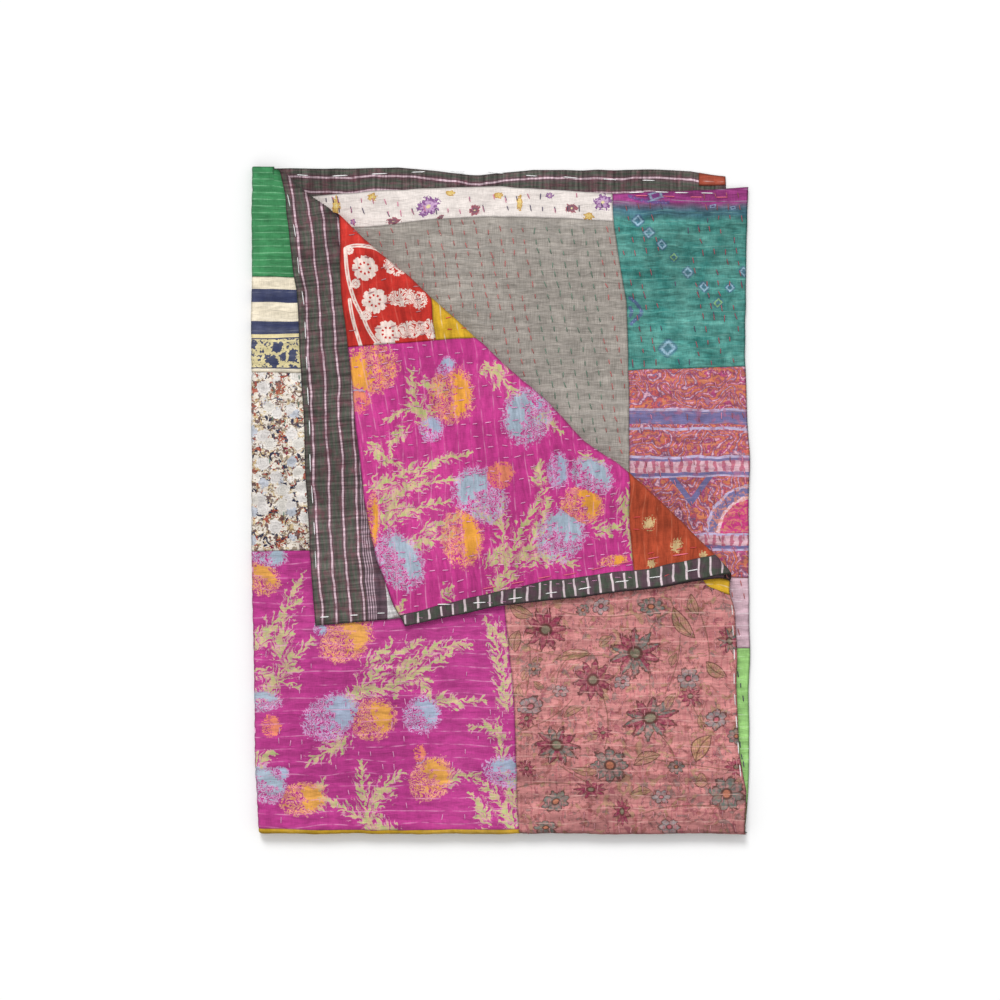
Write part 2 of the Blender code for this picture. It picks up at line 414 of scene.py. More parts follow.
def relief(p, q, back=False):
    """How far this face of the cloth stands proud of its smooth surface, in metres."""
    row, stitch = stitch_phase(p, q)
    ridge = np.abs(np.sin(math.pi * stitch)) ** ROUNDNESS
    between = np.abs(np.sin(math.pi * row)) ** ROUNDNESS
    strength = EVEN_STRENGTH + UNEVEN_STRENGTH * slow_noise(p, q, 0.06, 5)
    height = RIDGE_HEIGHT * strength * (ridge - RIDGE_FOOT) * (AT_ROWS + OFF_ROWS * between)
    height = height + PUFF_BETWEEN_ROWS * (between - 0.5) + SLOW_SWELL * slow_noise(p, q, 0.09, 6)
    height = np.maximum(height + creases(p, q), LOWEST)
    return height * free_to_puff(p, q, back)


# %% [markdown]
# ## A patch of cloth
# A patch starts as Blender's own grid. Its points are spread between four edges on the flat cloth, folded,
# and pushed out to the face of the cloth. A Solidify modifier gives it the thickness of one ply. Numbers
# stay on the mesh for the material: the place on the flat cloth in millimetres, the place among the
# stitches, and how far the nearest seam, edge and fold are. A print made from them follows the cloth round
# every fold.

# %% Grid lines, close where the cloth shows or turns
PLY = 0.0005
SEAM_DEPTH = 0.00042
SEAM_WIDTH = 0.0018
HEM_ROLL = 0.0014
HEM_THINS = 0.55
FINE = 0.0027
HIDDEN = 0.0060
COARSE = 0.0115
ROUND_FOLD = 0.0008
pieces = {}


def grid_lines(start, end, fine, fine_step, fold_reach):
    """Places from start to end: fine steps between fine's two values, and finer ones round the fold at 0."""
    marks = [m for m in (-fold_reach, fold_reach, *fine) if start < m < end]
    marks = sorted({start, end, *marks})
    places = []
    for a, b in zip(marks, marks[1:]):
        middle = (a + b) / 2
        step = COARSE
        if fine[0] < middle < fine[1]:
            step = fine_step
        if abs(middle) < fold_reach:
            step = ROUND_FOLD
        places.extend(np.linspace(a, b, max(1, round((b - a) / step)), endpoint=False))
    return np.array(places + [end])


def store(mesh, name, *columns):
    """Keeps one number or three for each point of a mesh."""
    one = len(columns) == 1
    layer = mesh.attributes.new(name, "FLOAT" if one else "FLOAT_VECTOR", "POINT")
    values = np.stack(columns, axis=-1).astype(np.float32).ravel()
    layer.data.foreach_set("value" if one else "vector", values)


def grid_object(name, columns, rows):
    """A flat grid mesh, and each point's column and row numbers."""
    grid = bmesh.new()
    bmesh.ops.create_grid(grid, x_segments=columns - 1, y_segments=rows - 1, size=1.0)
    mesh = bpy.data.meshes.new(name)
    grid.to_mesh(mesh)
    grid.free()
    places = np.empty(len(mesh.vertices) * 3, np.float32)
    mesh.vertices.foreach_get("co", places)
    places = places.reshape(-1, 3)
    piece = bpy.data.objects.new(name, mesh)
    bpy.context.scene.collection.objects.link(piece)
    column = np.rint((places[:, 0] + 1) / 2 * (columns - 1)).astype(int)
    row = np.rint((places[:, 1] + 1) / 2 * (rows - 1)).astype(int)
    return piece, column, row


# %% How far a place is from the sharp line of a fold
def from_folds(p, q):
    """Metres along the cloth to the nearest fold's outermost line, the turned corner's crease included."""
    x, y, middle, _ = fold_in_four(p, q, np.zeros_like(p))
    crease = np.abs(past_crease(x, y) - QUARTER * (AXIS_HEIGHT - middle))
    crease = np.where((p > 0) & (middle > HALF + 1.5 * REST_PITCH), crease, 1)
    return np.minimum(np.minimum(np.abs(p), np.abs(q)), crease)


# %% The patch maker
PAST_FOLD = 0.0015
SIDE_FOLD_REACH = (FOLD_PITCH + END_RADIUS) * QUARTER + PAST_FOLD
END_FOLD_REACH = END_RADIUS * QUARTER + PAST_FOLD
SPREAD_ROUNDS = 3
WHOLE = (-2, 2)


def patch(
    name,
    layer,
    west,
    east,
    south,
    north,
    rims="",
    fine_p=WHOLE,
    fine_q=WHOLE,
    step=FINE,
    back=False,
    out=HALF,
    measure="n",
):
    """Cloth between two edges of (q, p) rows and two of (p, q). rims: which sides are the throw's."""
    spans = [[value for _, value in edge] for edge in (west, east, south, north)]
    columns = grid_lines(min(spans[0]), max(spans[1]), fine_p, step, SIDE_FOLD_REACH)
    rows = grid_lines(min(spans[2]), max(spans[3]), fine_q, step, END_FOLD_REACH)
    piece, column, row = grid_object(name, len(columns), len(rows))
    u = ((columns - columns[0]) / (columns[-1] - columns[0]))[column]
    v = ((rows - rows[0]) / (rows[-1] - rows[0]))[row]
    p, q = columns[column], rows[row]
    for _ in range(SPREAD_ROUNDS):
        left, right = read(west, q), read(east, q)
        p = left * (1 - u) + right * u
        q = read(south, p) * (1 - v) + read(north, p) * v
    wide, tall = read(east, q) - read(west, q), read(north, p) - read(south, p)
    from_edges = {"w": u * wide, "e": (1 - u) * wide, "s": v * tall, "n": (1 - v) * tall}
    seam = np.min([d for side, d in from_edges.items() if side not in rims] + [np.ones_like(u)], axis=0)
    edge = np.min([from_edges[side] for side in rims] + [np.ones_like(u)], axis=0)
    bumps = relief(p, q, back)
    lift = out + bumps - SEAM_DEPTH * np.exp(-((seam / SEAM_WIDTH) ** 2))
    for side in rims:
        roll = 1 - np.clip(from_edges[side] / HEM_ROLL, 0, 1)
        lift = lift * (1 - HEM_THINS * roll**2)
    points = folded(p, q, -lift if back else lift)
    piece.data.vertices.foreach_set("co", points.astype(np.float32).ravel())
    row_phase, stitch = stitch_phase(p, q)
    store(piece.data, "cloth", 1000 * p, 1000 * q, np.zeros_like(p))
    store(piece.data, "sewn", row_phase, stitch, 1000 * bumps)
    store(piece.data, "seam", 1000 * seam)
    store(piece.data, "edge", 1000 * edge)
    store(piece.data, "fold", 1000 * from_folds(p, q))
    store(piece.data, "rim", 1000 * from_edges[measure])
    if back:
        piece.data.flip_normals()
    piece.data.shade_smooth()
    ply = piece.modifiers.new("one ply", "SOLIDIFY")
    ply.thickness = PLY
    ply.offset = -1.0
    edges = (west, east, south, north)
    pieces[name] = {"piece": piece, "layer": layer, "p": p, "q": q, "edges": edges, "back": back}
    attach(piece, "root")
    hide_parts(NODE)


# %% [markdown]
# ## The patchwork
# The maker joined rectangles of used cloth edge to edge before quilting, so the seams run nearly straight,
# and each patch goes on round a fold or under the turned corner. Where a patch is hidden its grid is coarse:
# fine_p and fine_q give the stretch that shows, in metres on the flat cloth, and 2 is past the cloth's end.

# %% Seams, in metres on the layer where each shows
FIRST_MIDDLE = ((0.0026, 0.3469), (0.1721, 0.3403), (0.3025, 0.3286), (0.3351, 0.3234), (0.87, 0.3234))
GREEN_FOOT, BANDS_FOOT, MAGENTA_HEAD, SALMON_HEAD = 0.7237, 0.5985, 0.3671, 0.400
YELLOW_FOLD = ((-0.2, 0.0062), (0.013, 0.0065), (0.15, 0.0045), (0.32, 0.0058), (0.66, 0.0052))
SECOND_MIDDLE = ((0.20, 0.296), (0.47, 0.296), (0.81, 0.292))
RED_FOOT, RUST_HEAD, RUST_FOOT = 0.700, 0.470, 0.300
THIRD_MIDDLE = (
    (0.30, 0.4930),
    (0.4720, 0.4916),
    (0.6285, 0.4890),
    (0.6937, 0.4864),
    (0.7329, 0.4786),
    (0.7941, 0.4707),
    (0.8346, 0.4694),
)
STRIP_FOOT = (
    (0.0, 0.780), (0.1369, 0.7876), (0.2452, 0.7981), (0.3103, 0.8020), (0.3756, 0.8007), (0.4694, 0.7954)
)
GREY_FOOT = 0.430
TEAL_FOOT = ((0.47, 0.6020), (0.490, 0.6025), (0.645, 0.6077))
BORDER_FOOT, LILAC_FOOT, LIME_FOOT = 0.3312, 0.2399, 0.0391
INNER_EDGE = 0.045
UNDER_EDGE = 0.190
UNDER_MIDDLE = 0.450
HIDDEN_FOOT = 0.100


# %% Short names for the seams on the flat cloth
def flat_p(layer, across):
    """A straight edge that runs up, as rows of (q, p)."""
    return tuple((end, on_cloth(layer, across, 0)[0]) for end in WHOLE)


def flat_q(layer, up):
    """A straight edge that runs across, as rows of (p, q)."""
    return tuple((end, on_cloth(layer, 0, up)[1]) for end in WHOLE)


middle_1 = running_up(FIRST, FIRST_MIDDLE)
middle_2 = running_up(SECOND, SECOND_MIDDLE)
middle_3 = running_up(THIRD, THIRD_MIDDLE)
under = flat_p(FOURTH, UNDER_EDGE)
inner_2, inner_3 = flat_p(SECOND, INNER_EDGE), flat_p(THIRD, INNER_EDGE)
fold_seam = running_across(FIRST, YELLOW_FOLD)
hidden_q = flat_q(SECOND, HIDDEN_FOOT)
wrap = -0.013
left_shown = (wrap, 0.112)
past_wrap = (wrap, 2)
hidden = {"fine_p": (-2, -2), "step": HIDDEN}

# %% The top layer, and what it takes round the left fold
patch("green", FIRST, under, middle_1, flat_q(FIRST, GREEN_FOOT), NORTH, "n", fine_p=left_shown)
patch(
    "navy_bands", FIRST, under, middle_1, flat_q(FIRST, BANDS_FOOT), flat_q(FIRST, GREEN_FOOT),
    fine_p=left_shown,
)
patch(
    "small_floral", FIRST, under, middle_1, flat_q(FIRST, MAGENTA_HEAD), flat_q(FIRST, BANDS_FOOT),
    fine_p=left_shown,
)
patch("magenta_floral", FIRST, under, middle_1, fold_seam, flat_q(FIRST, MAGENTA_HEAD), fine_p=past_wrap)
patch("yellow_fold", FIRST, under, middle_1, hidden_q, fold_seam, fine_p=past_wrap, fine_q=(-0.01, 2))
patch(
    "salmon_floral", FIRST, middle_1, EAST, hidden_q, flat_q(FIRST, SALMON_HEAD), "e", fine_q=(-0.01, 0.39)
)
patch("first_hidden", FIRST, middle_1, EAST, flat_q(FIRST, SALMON_HEAD), NORTH, "en", **hidden)

# %% The second layer, whose turned corner shows
patch("red_print", SECOND, inner_2, middle_2, SOUTH, flat_q(SECOND, RED_FOOT), "s")
patch(
    "yellow", SECOND, inner_2, middle_2, flat_q(SECOND, RED_FOOT), flat_q(SECOND, RUST_HEAD),
    fine_p=(0.17, 2), fine_q=(-2, -0.58),
)
patch("magenta_corner", SECOND, middle_2, EAST, SOUTH, flat_q(SECOND, RUST_HEAD), "se")
patch(
    "rust", SECOND, middle_2, EAST, flat_q(SECOND, RUST_HEAD), flat_q(SECOND, RUST_FOOT), "e",
    fine_p=(0.40, 2),
)
patch("second_hidden", SECOND, inner_2, EAST, flat_q(SECOND, RUST_FOOT), hidden_q, "e", **hidden)
patch(
    "second_hidden_left", SECOND, inner_2, middle_2, flat_q(SECOND, RUST_HEAD), flat_q(SECOND, RUST_FOOT),
    **hidden,
)

# %% The third layer
patch(
    "white_strip", THIRD, middle_3, inner_3, SOUTH, running_across(THIRD, STRIP_FOOT), "s",
    fine_p=(-2, -0.07),
)
patch(
    "grey_chambray", THIRD, middle_3, inner_3, running_across(THIRD, STRIP_FOOT), flat_q(THIRD, GREY_FOOT),
    fine_p=(-2, -0.09),
)
patch("teal_dyed", THIRD, WEST, middle_3, SOUTH, running_across(THIRD, TEAL_FOOT), "ws")
patch(
    "border_print", THIRD, WEST, middle_3, running_across(THIRD, TEAL_FOOT), flat_q(THIRD, BORDER_FOOT), "w"
)
patch(
    "lilac", THIRD, WEST, middle_3, flat_q(THIRD, BORDER_FOOT), flat_q(THIRD, LILAC_FOOT), "w",
    fine_p=(-2, -0.60),
)
patch(
    "lime", THIRD, WEST, middle_3, flat_q(THIRD, LILAC_FOOT), flat_q(THIRD, LIME_FOOT), "w",
    fine_p=(-2, -0.60),
)
patch(
    "third_hidden", THIRD, middle_3, inner_3, flat_q(THIRD, GREY_FOOT), flat_q(THIRD, HIDDEN_FOOT), **hidden
)
patch("inner_fold", THIRD, inner_3, inner_2, SOUTH, flat_q(THIRD, HIDDEN_FOOT), "s", **hidden)

# %% The underside
under_seam = flat_q(FOURTH, UNDER_MIDDLE)
patch("under_low", FOURTH, middle_3, under, hidden_q, under_seam, **hidden)
patch("under_left", FOURTH, WEST, middle_3, flat_q(THIRD, LIME_FOOT), under_seam, "w", **hidden)
patch("under_high", FOURTH, WEST, under, under_seam, NORTH, "wn", **hidden)

# %% The striped backing: its end strip shows, and the rest lies inside
strip_foot = flat_q(FIRST, END_STRIP)
patch("backing_end", FIRST, WEST, EAST, strip_foot, NORTH, "wen", back=True)
patch("backing", FIRST, WEST, EAST, SOUTH, strip_foot, "wes", **hidden, back=True)

# %% [markdown]
# ## The turned hem
# Along the second layer's side the backing was brought round to the front and sewn down as a hem, so a dark
# striped band edges the turned corner. It lies on the patches, so it is its own strip, one ply higher.

# %% A band along the edge, and two scraps
HEM_PROUD = 0.0009
HEM_WIDTHS = (
    (-0.80, 0.009), (-0.775, 0.014), (-0.72, 0.0185), (-0.64, 0.021), (-0.55, 0.0255), (-0.30, 0.028)
)
HEM_ROWS = np.linspace(SOUTH[-1][1] - 0.01, -UNDER_EDGE, 24)
HEM_STRAYS = 0.0012
hem_inner = []
for q in HEM_ROWS:
    hem_inner.append((q, read(EAST, q) - read(HEM_WIDTHS, q) + HEM_STRAYS * slow_noise(q, 0, 0.03, 8)))
patch(
    "turned_hem",
    SECOND,
    hem_inner,
    EAST,
    SOUTH,
    flat_q(SECOND, RUST_FOOT),
    "se",
    out=HALF + HEM_PROUD,
    measure="e",
)
peek_west = running_up(FIRST, ((0.313, 0.6180), (0.320, 0.592), (0.330, 0.585)))
patch(
    "yellow_peek", FIRST, peek_west, EAST, flat_q(FIRST, 0.314), flat_q(FIRST, 0.332), "e",
    out=HALF + HEM_PROUD,
)
scrap_east = flat_p(FOURTH, 0.5816)
scrap_foot = flat_q(FOURTH, 0.8440)
scrap_head = running_across(FOURTH, ((0.575, 0.8625), (0.616, 0.8548)))
patch(
    "orange_scrap", FOURTH, WEST, scrap_east, scrap_foot, scrap_head, "wn", back=True, out=HALF + HEM_PROUD
)

# %% [markdown]
# ## Printed motifs
# The prints are common ones: loose blooms and leafy sprays. Each motif is placed at a listed pixel of the
# picture, with its size and tilt, and every point of the mesh keeps where it lies in the nearest motif, so
# the material can draw petals and leaves that are finer than the mesh. The distance to the motif is kept
# apart from the direction, because it changes smoothly where one motif's ground meets the next.

# %% Charting blooms and stems on a patch
FAR = 5.0
BEND_STEPS = 10
ROOT_LEAVES, TIP_SHRINKS = 1.15, 0.75


def chart_blooms(name, motifs, turned=False):
    """motifs: x, y, half length, half width (pixels), tilt (degrees), kind. turned: on the turned corner."""
    made = pieces[name]
    p, q = made["p"], made["q"]
    nearest = np.full_like(p, FAR)
    local_x, local_y, kinds = np.full_like(p, FAR), np.full_like(p, FAR), np.zeros_like(p)
    for x, y, length, width, tilt, kind in motifs:
        layer = made["layer"]
        reach = math.radians(tilt)
        centre = np.array(seen_at(layer, x, y, turned))
        tip = np.array(seen_at(layer, x + length * math.cos(reach), y - length * math.sin(reach), turned))
        axis = (tip - centre) / np.linalg.norm(tip - centre)
        along = ((p - centre[0]) * axis[0] + (q - centre[1]) * axis[1]) / (length * PIXEL)
        across = ((q - centre[1]) * axis[0] - (p - centre[0]) * axis[1]) / (width * PIXEL)
        distance = np.hypot(along, across)
        near = distance < nearest
        nearest = np.where(near, distance, nearest)
        local_x, local_y = np.where(near, along, local_x), np.where(near, across, local_y)
        kinds = np.where(near, kind, kinds)
    mesh = made["piece"].data
    store(mesh, "bloom", local_x, local_y, kinds)
    store(mesh, "bloom_far", nearest)


def chart_stems(name, stems, turned=False):
    """stems: (leaf length in pixels, root, bend, tip), each place a pixel, bent smoothly between them."""
    made = pieces[name]
    p, q = made["p"], made["q"]
    nearest = np.full_like(p, 0.1)
    run, side, leaf = np.zeros_like(p), np.full_like(p, 0.1), np.zeros_like(p)
    for leaf_length, root, bend, tip in stems:
        t = np.linspace(0, 1, BEND_STEPS + 1)[:, None]
        bow = (1 - t) ** 2 * np.array(root) + 2 * t * (1 - t) * np.array(bend) + t**2 * np.array(tip)
        points = np.array([seen_at(made["layer"], x, y, turned) for x, y in bow])
        start = 0.0
        for i, (a, b) in enumerate(zip(points, points[1:])):
            length = np.linalg.norm(b - a)
            axis = (b - a) / length
            along = (p - a[0]) * axis[0] + (q - a[1]) * axis[1]
            across = (q - a[1]) * axis[0] - (p - a[0]) * axis[1]
            held = np.clip(along, 0, length)
            distance = np.hypot(along - held, across)
            near = distance < nearest
            nearest = np.where(near, distance, nearest)
            run = np.where(near, start + along, run)
            side = np.where(near, across, side)
            taper = ROOT_LEAVES - TIP_SHRINKS * (i / BEND_STEPS)
            leaf = np.where(near, leaf_length * PIXEL * taper, leaf)
            start += length
    mesh = made["piece"].data
    store(mesh, "sprig", 1000 * run, 1000 * side, 1000 * leaf)
    store(mesh, "sprig_far", 1000 * nearest)


# %% [markdown]
# ## Cotton
# All of the throw is used cotton: thin plain weave, washed soft, with no shine. What the eye reads is uneven
# yarn, dye that has faded in clouds, and light and shade painted into the colour: paler crests, partly wear
# and partly a painted highlight; painted shade in the furrows between the ridges, by the seams and folds,
# and on crinkles, whose tops are painted lighter; and a dark rim with painted shade at the throw's edges.
# So one finish does that for any print, and each print only has to give it a colour.

# %% Colours and nodes
def linear(code):
    """An sRGB hex colour as linear RGBA."""
    channels = [int(code[i : i + 2], 16) / 255 for i in (1, 3, 5)]
    return (*[c / 12.92 if c <= 0.04045 else ((c + 0.055) / 1.055) ** 2.4 for c in channels], 1.0)


def add(tree, kind, *inputs, out=0, **settings):
    """A node with its settings, its first sockets set or linked in order, and a dict for sockets by name."""
    node = tree.nodes.new("ShaderNode" + kind)
    for key, value in settings.items():
        setattr(node, key, value)
    for place, value in enumerate(inputs):
        named = value.items() if isinstance(value, dict) else [(place, value)]
        for socket, given in named:
            if isinstance(given, bpy.types.NodeSocket):
                tree.links.new(given, node.inputs[socket])
            elif isinstance(given, str):
                node.inputs[socket].default_value = linear(given)
            elif given is not None:
                node.inputs[socket].default_value = given
    return node.outputs[out]


def shades(tree, at, rows):
    """Colours one after another along a value from 0 to 1: rows of (where each starts, colour)."""
    ramp = add(tree, "ValToRGB", at)
    stops = ramp.node.color_ramp
    stops.interpolation = "CONSTANT"
    for i, (spot, code) in enumerate(rows):
        stop = stops.elements[i] if i < 2 else stops.elements.new(spot)
        stop.position = spot
        stop.color = linear(code)
    return ramp


ALONG_P, ALONG_Q = 0, 1


def wavering(tree, place, axis, bend, size):
    """One coordinate of the flat cloth, in millimetres, bent by soft noise."""
    at = add(tree, "SeparateXYZ", place, out=axis)
    noise = add(tree, "TexNoise", {"Vector": place, "Scale": 1 / size, "Detail": 2.0})
    return add(tree, "Math", noise, bend, at, operation="MULTIPLY_ADD")


def off_by(tree, value, level):
    """How far a value is from a level, to either side."""
    off = add(tree, "Math", value, level, operation="SUBTRACT")
    return add(tree, "Math", off, operation="ABSOLUTE")


def in_bloom(tree):
    """The place along and across the nearest bloom, the bloom's kind, and the distance from its heart."""
    bloom = add(tree, "Attribute", attribute_name="bloom", out="Vector")
    spot = [add(tree, "SeparateXYZ", bloom, out=i) for i in range(3)]
    return (*spot, add(tree, "Attribute", attribute_name="bloom_far", out="Fac"))


# %% The finish that every patch gets
SLUB = 0.9
THREAD = 0.45
CLOUDS = 30.0


def cotton(
    name, draw, crest_wear_and_highlight_amount=0.10, furrow_shade=0.20, slub=0.16, cloud=0.14, lines=0.3, crinkle_shading=0.13, pale="#ffffff"
):
    """A worn cotton, with light and shade painted into its colour. draw(tree, place) gives its colour at a
    place on the flat cloth, in millimetres.
    """
    material = bpy.data.materials.new(name)
    material.use_nodes = True
    tree = material.node_tree
    shader = tree.nodes["Principled BSDF"]
    place = add(tree, "Attribute", attribute_name="cloth", out="Vector")
    sewn = add(tree, "Attribute", attribute_name="sewn", out="Vector")
    seam = add(tree, "Attribute", attribute_name="seam", out="Fac")
    edge = add(tree, "Attribute", attribute_name="edge", out="Fac")
    fold = add(tree, "Attribute", attribute_name="fold", out="Fac")
    colour = draw(tree, place)
    weft = add(tree, "Mapping", place, {"Scale": (0.10, 1 / SLUB, 1)})
    warp = add(tree, "Mapping", place, {"Scale": (1 / SLUB, 0.10, 1)})
    weft = add(tree, "TexNoise", {"Vector": weft, "Scale": 1.0, "Detail": 3.0})
    warp = add(tree, "TexNoise", {"Vector": warp, "Scale": 1.0, "Detail": 3.0})
    yarn = add(tree, "Math", weft, warp, operation="ADD")
    clouds = add(tree, "TexNoise", {"Vector": place, "Scale": 1 / CLOUDS, "Detail": 4.0, "Roughness": 0.6})
    height = add(tree, "SeparateXYZ", sewn, out=2)
    # Painted shade: the colour is darker in the furrows, where the relief is lowest.
    level = add(tree, "MapRange", height, -0.35, 0.45, 1 - furrow_shade, 1.0)
    tone = add(tree, "MapRange", yarn, 0.7, 1.3, 1 - slub, 1 + slub)
    faded = add(tree, "MapRange", clouds, 0.3, 0.7, 1 - cloud, 1 + cloud)
    # Painted light and shade on the crinkles: the noise that bumps the surface below also lightens and
    # darkens its colour.
    creased = add(tree, "Mapping", place, {"Scale": (0.035, 0.17, 1)})
    creased = add(tree, "TexNoise", {"Vector": creased, "Scale": 1.0, "Detail": 5.0, "Distortion": 1.0})
    crinkle_light_and_shade = add(tree, "MapRange", creased, 0.36, 0.62, 1 - crinkle_shading, 1 + crinkle_shading)
    # Painted shade in the seams' valleys and along the folds; at the throw's edges a darker hem rim together
    # with painted shade.
    seam_shade = add(tree, "MapRange", seam, 0.0, 2.2, 0.62, 1.0)
    dark_rim_and_edge_shade = add(tree, "MapRange", edge, 0.4, 2.6, 0.42, 1.0)
    fold_shade = add(tree, "MapRange", fold, 1.5, 6.5, 0.52, 1.0)
    for other in (faded, level, crinkle_light_and_shade, seam_shade, dark_rim_and_edge_shade, fold_shade):
        tone = add(tree, "Math", tone, other, operation="MULTIPLY")
    colour = add(tree, "VectorMath", colour, tone, operation="MULTIPLY")
    # Paler crests: thin broken lines along each ridge's crest are a painted highlight, as strong as lines
    # says, and the highest relief is paled by wear and painted highlight together; both are mixed towards the
    # colour given as pale.
    crest_highlight = add(tree, "SeparateXYZ", sewn, out=1)
    crest_highlight = add(tree, "Math", crest_highlight, 0.5, operation="ADD")
    crest_highlight = add(tree, "Math", crest_highlight, 0.5, operation="PINGPONG")
    crest_highlight = add(tree, "MapRange", crest_highlight, 0.06, 0.01, 0.0, 1.0)
    broken = add(tree, "TexNoise", {"Vector": place, "Scale": 0.06, "Detail": 3.0})
    broken = add(tree, "MapRange", broken, 0.42, 0.60, 0.0, lines)
    crest_highlight = add(tree, "Math", crest_highlight, broken, operation="MULTIPLY")
    crest_wear_and_highlight = add(tree, "MapRange", height, 0.25, 1.1, 0.0, crest_wear_and_highlight_amount)
    crest_wear_and_highlight = add(tree, "Math", crest_wear_and_highlight, weft, operation="MULTIPLY")
    crest_wear_and_highlight = add(tree, "Math", crest_wear_and_highlight, crest_highlight, operation="ADD", use_clamp=True)
    colour = add(tree, "Mix", {0: crest_wear_and_highlight, 6: colour, 7: pale}, data_type="RGBA", out=2)
    threads = add(tree, "Mapping", place, {"Scale": (1 / THREAD, 1 / THREAD, 1)})
    threads = add(tree, "TexNoise", {"Vector": threads, "Scale": 1.0, "Detail": 2.0})
    threads = add(tree, "Math", threads, yarn, operation="ADD")
    bump = add(tree, "Bump", {"Strength": 0.8, "Distance": 0.0016, "Height": creased})
    bump = add(tree, "Bump", {"Strength": 0.5, "Distance": 0.0004, "Height": threads, "Normal": bump})
    tree.links.new(colour, shader.inputs["Base Color"])
    tree.links.new(bump, shader.inputs["Normal"])
    shader.inputs["Roughness"].default_value = 0.92
    shader.inputs["Sheen Weight"].default_value = 0.06
    shader.inputs["Specular IOR Level"].default_value = 0.15
    return material


def dyed(code):
    """The colour of a plain dyed cloth, as a drawing for cotton()."""
    return lambda tree, place: add(tree, "Mix", {0: 0.0, 6: code, 7: code}, data_type="RGBA", out=2)


def wear_on(material, *names):
    """Dresses the named patches in a finished cloth."""
    for name in names:
        pieces[name]["piece"].data.materials.append(material)
    print(material.name, "on:", ", ".join(names))


# %% [markdown]
# ## The magenta print
# Two patches come from the same used sari: magenta cotton, printed with loose peonies in orange, lilac and
# pale blue, and with stiff leafy sprays in straw and lime. A peony is solid on one side and breaks up into a
# lace of short pale lines on the other. The sprays have a thin pink rim.

# %% Blooms and sprays of the magenta print
ORANGE, BLUE, LILAC, PEACH = 0, 1, 2, 3
chart_blooms(
    "magenta_floral",
    (
        (347, 638, 26, 19, 30, ORANGE),
        (331, 716, 28, 20, 28, LILAC),
        (374, 718, 21, 18, 20, ORANGE),
        (421, 714, 18, 17, 40, LILAC),
        (431, 777, 22, 18, 50, ORANGE),
        (303, 797, 22, 15, 10, ORANGE),
        (266, 783, 17, 22, 60, BLUE),
        (261, 700, 10, 20, 90, BLUE),
        (272, 725, 9, 10, 0, PEACH),
        (262, 578, 14, 18, 60, ORANGE),
        (270, 556, 16, 10, 0, BLUE),
        (280, 772, 9, 7, 20, LILAC),
        (507, 770, 14, 22, 80, LILAC),
        (320, 628, 7, 6, 0, LILAC),
        (420, 752, 6, 8, 0, PEACH),
    ),
)
chart_stems(
    "magenta_floral",
    (
        (12, (352, 700), (385, 655), (420, 640)),
        (12, (360, 690), (400, 690), (455, 648)),
        (11, (402, 672), (430, 640), (470, 645)),
        (9, (372, 660), (385, 650), (392, 640)),
        (9, (376, 690), (400, 690), (420, 660)),
        (8, (420, 680), (428, 690), (430, 700)),
        (8, (440, 700), (462, 700), (484, 700)),
        (12, (372, 825), (360, 790), (362, 762)),
        (12, (375, 800), (388, 780), (402, 772)),
        (10, (392, 830), (350, 810), (322, 795)),
        (9, (322, 800), (318, 785), (324, 778)),
        (11, (340, 740), (325, 755), (310, 760)),
        (11, (282, 650), (280, 610), (302, 575)),
        (11, (262, 640), (275, 620), (300, 600)),
        (12, (270, 690), (285, 660), (312, 640)),
        (9, (285, 665), (295, 675), (300, 668)),
        (7, (262, 672), (280, 680), (298, 688)),
        (12, (506, 700), (500, 650), (485, 620)),
        (10, (506, 640), (495, 630), (490, 625)),
        (12, (515, 800), (500, 760), (498, 722)),
        (9, (500, 735), (492, 720), (470, 728)),
        (12, (512, 820), (495, 790), (475, 775)),
        (10, (486, 815), (480, 805), (470, 792)),
        (7, (450, 780), (462, 772), (478, 774)),
        (8, (262, 760), (270, 750), (276, 752)),
    ),
)
chart_blooms(
    "magenta_corner",
    (
        (370, 370, 26, 22, 200, ORANGE),
        (359, 400, 12, 10, 90, PEACH),
        (452, 396, 20, 26, 0, ORANGE),
        (446, 367, 10, 7, 60, LILAC),
        (431, 429, 12, 11, 60, LILAC),
        (526, 417, 22, 26, 170, BLUE),
        (497, 477, 16, 12, 40, PEACH),
        (480, 494, 28, 22, 130, BLUE),
        (462, 537, 19, 27, 5, ORANGE),
        (400, 560, 20, 29, 30, BLUE),
        (557, 470, 10, 17, 0, LILAC),
        (590, 476, 16, 21, 50, BLUE),
        (581, 505, 20, 18, 20, ORANGE),
        (560, 535, 26, 22, 60, BLUE),
        (373, 520, 6, 26, 0, ORANGE),
        (612, 560, 14, 5, 10, ORANGE),
        (536, 407, 6, 6, 0, LILAC),
    ),
    TURNED,
)
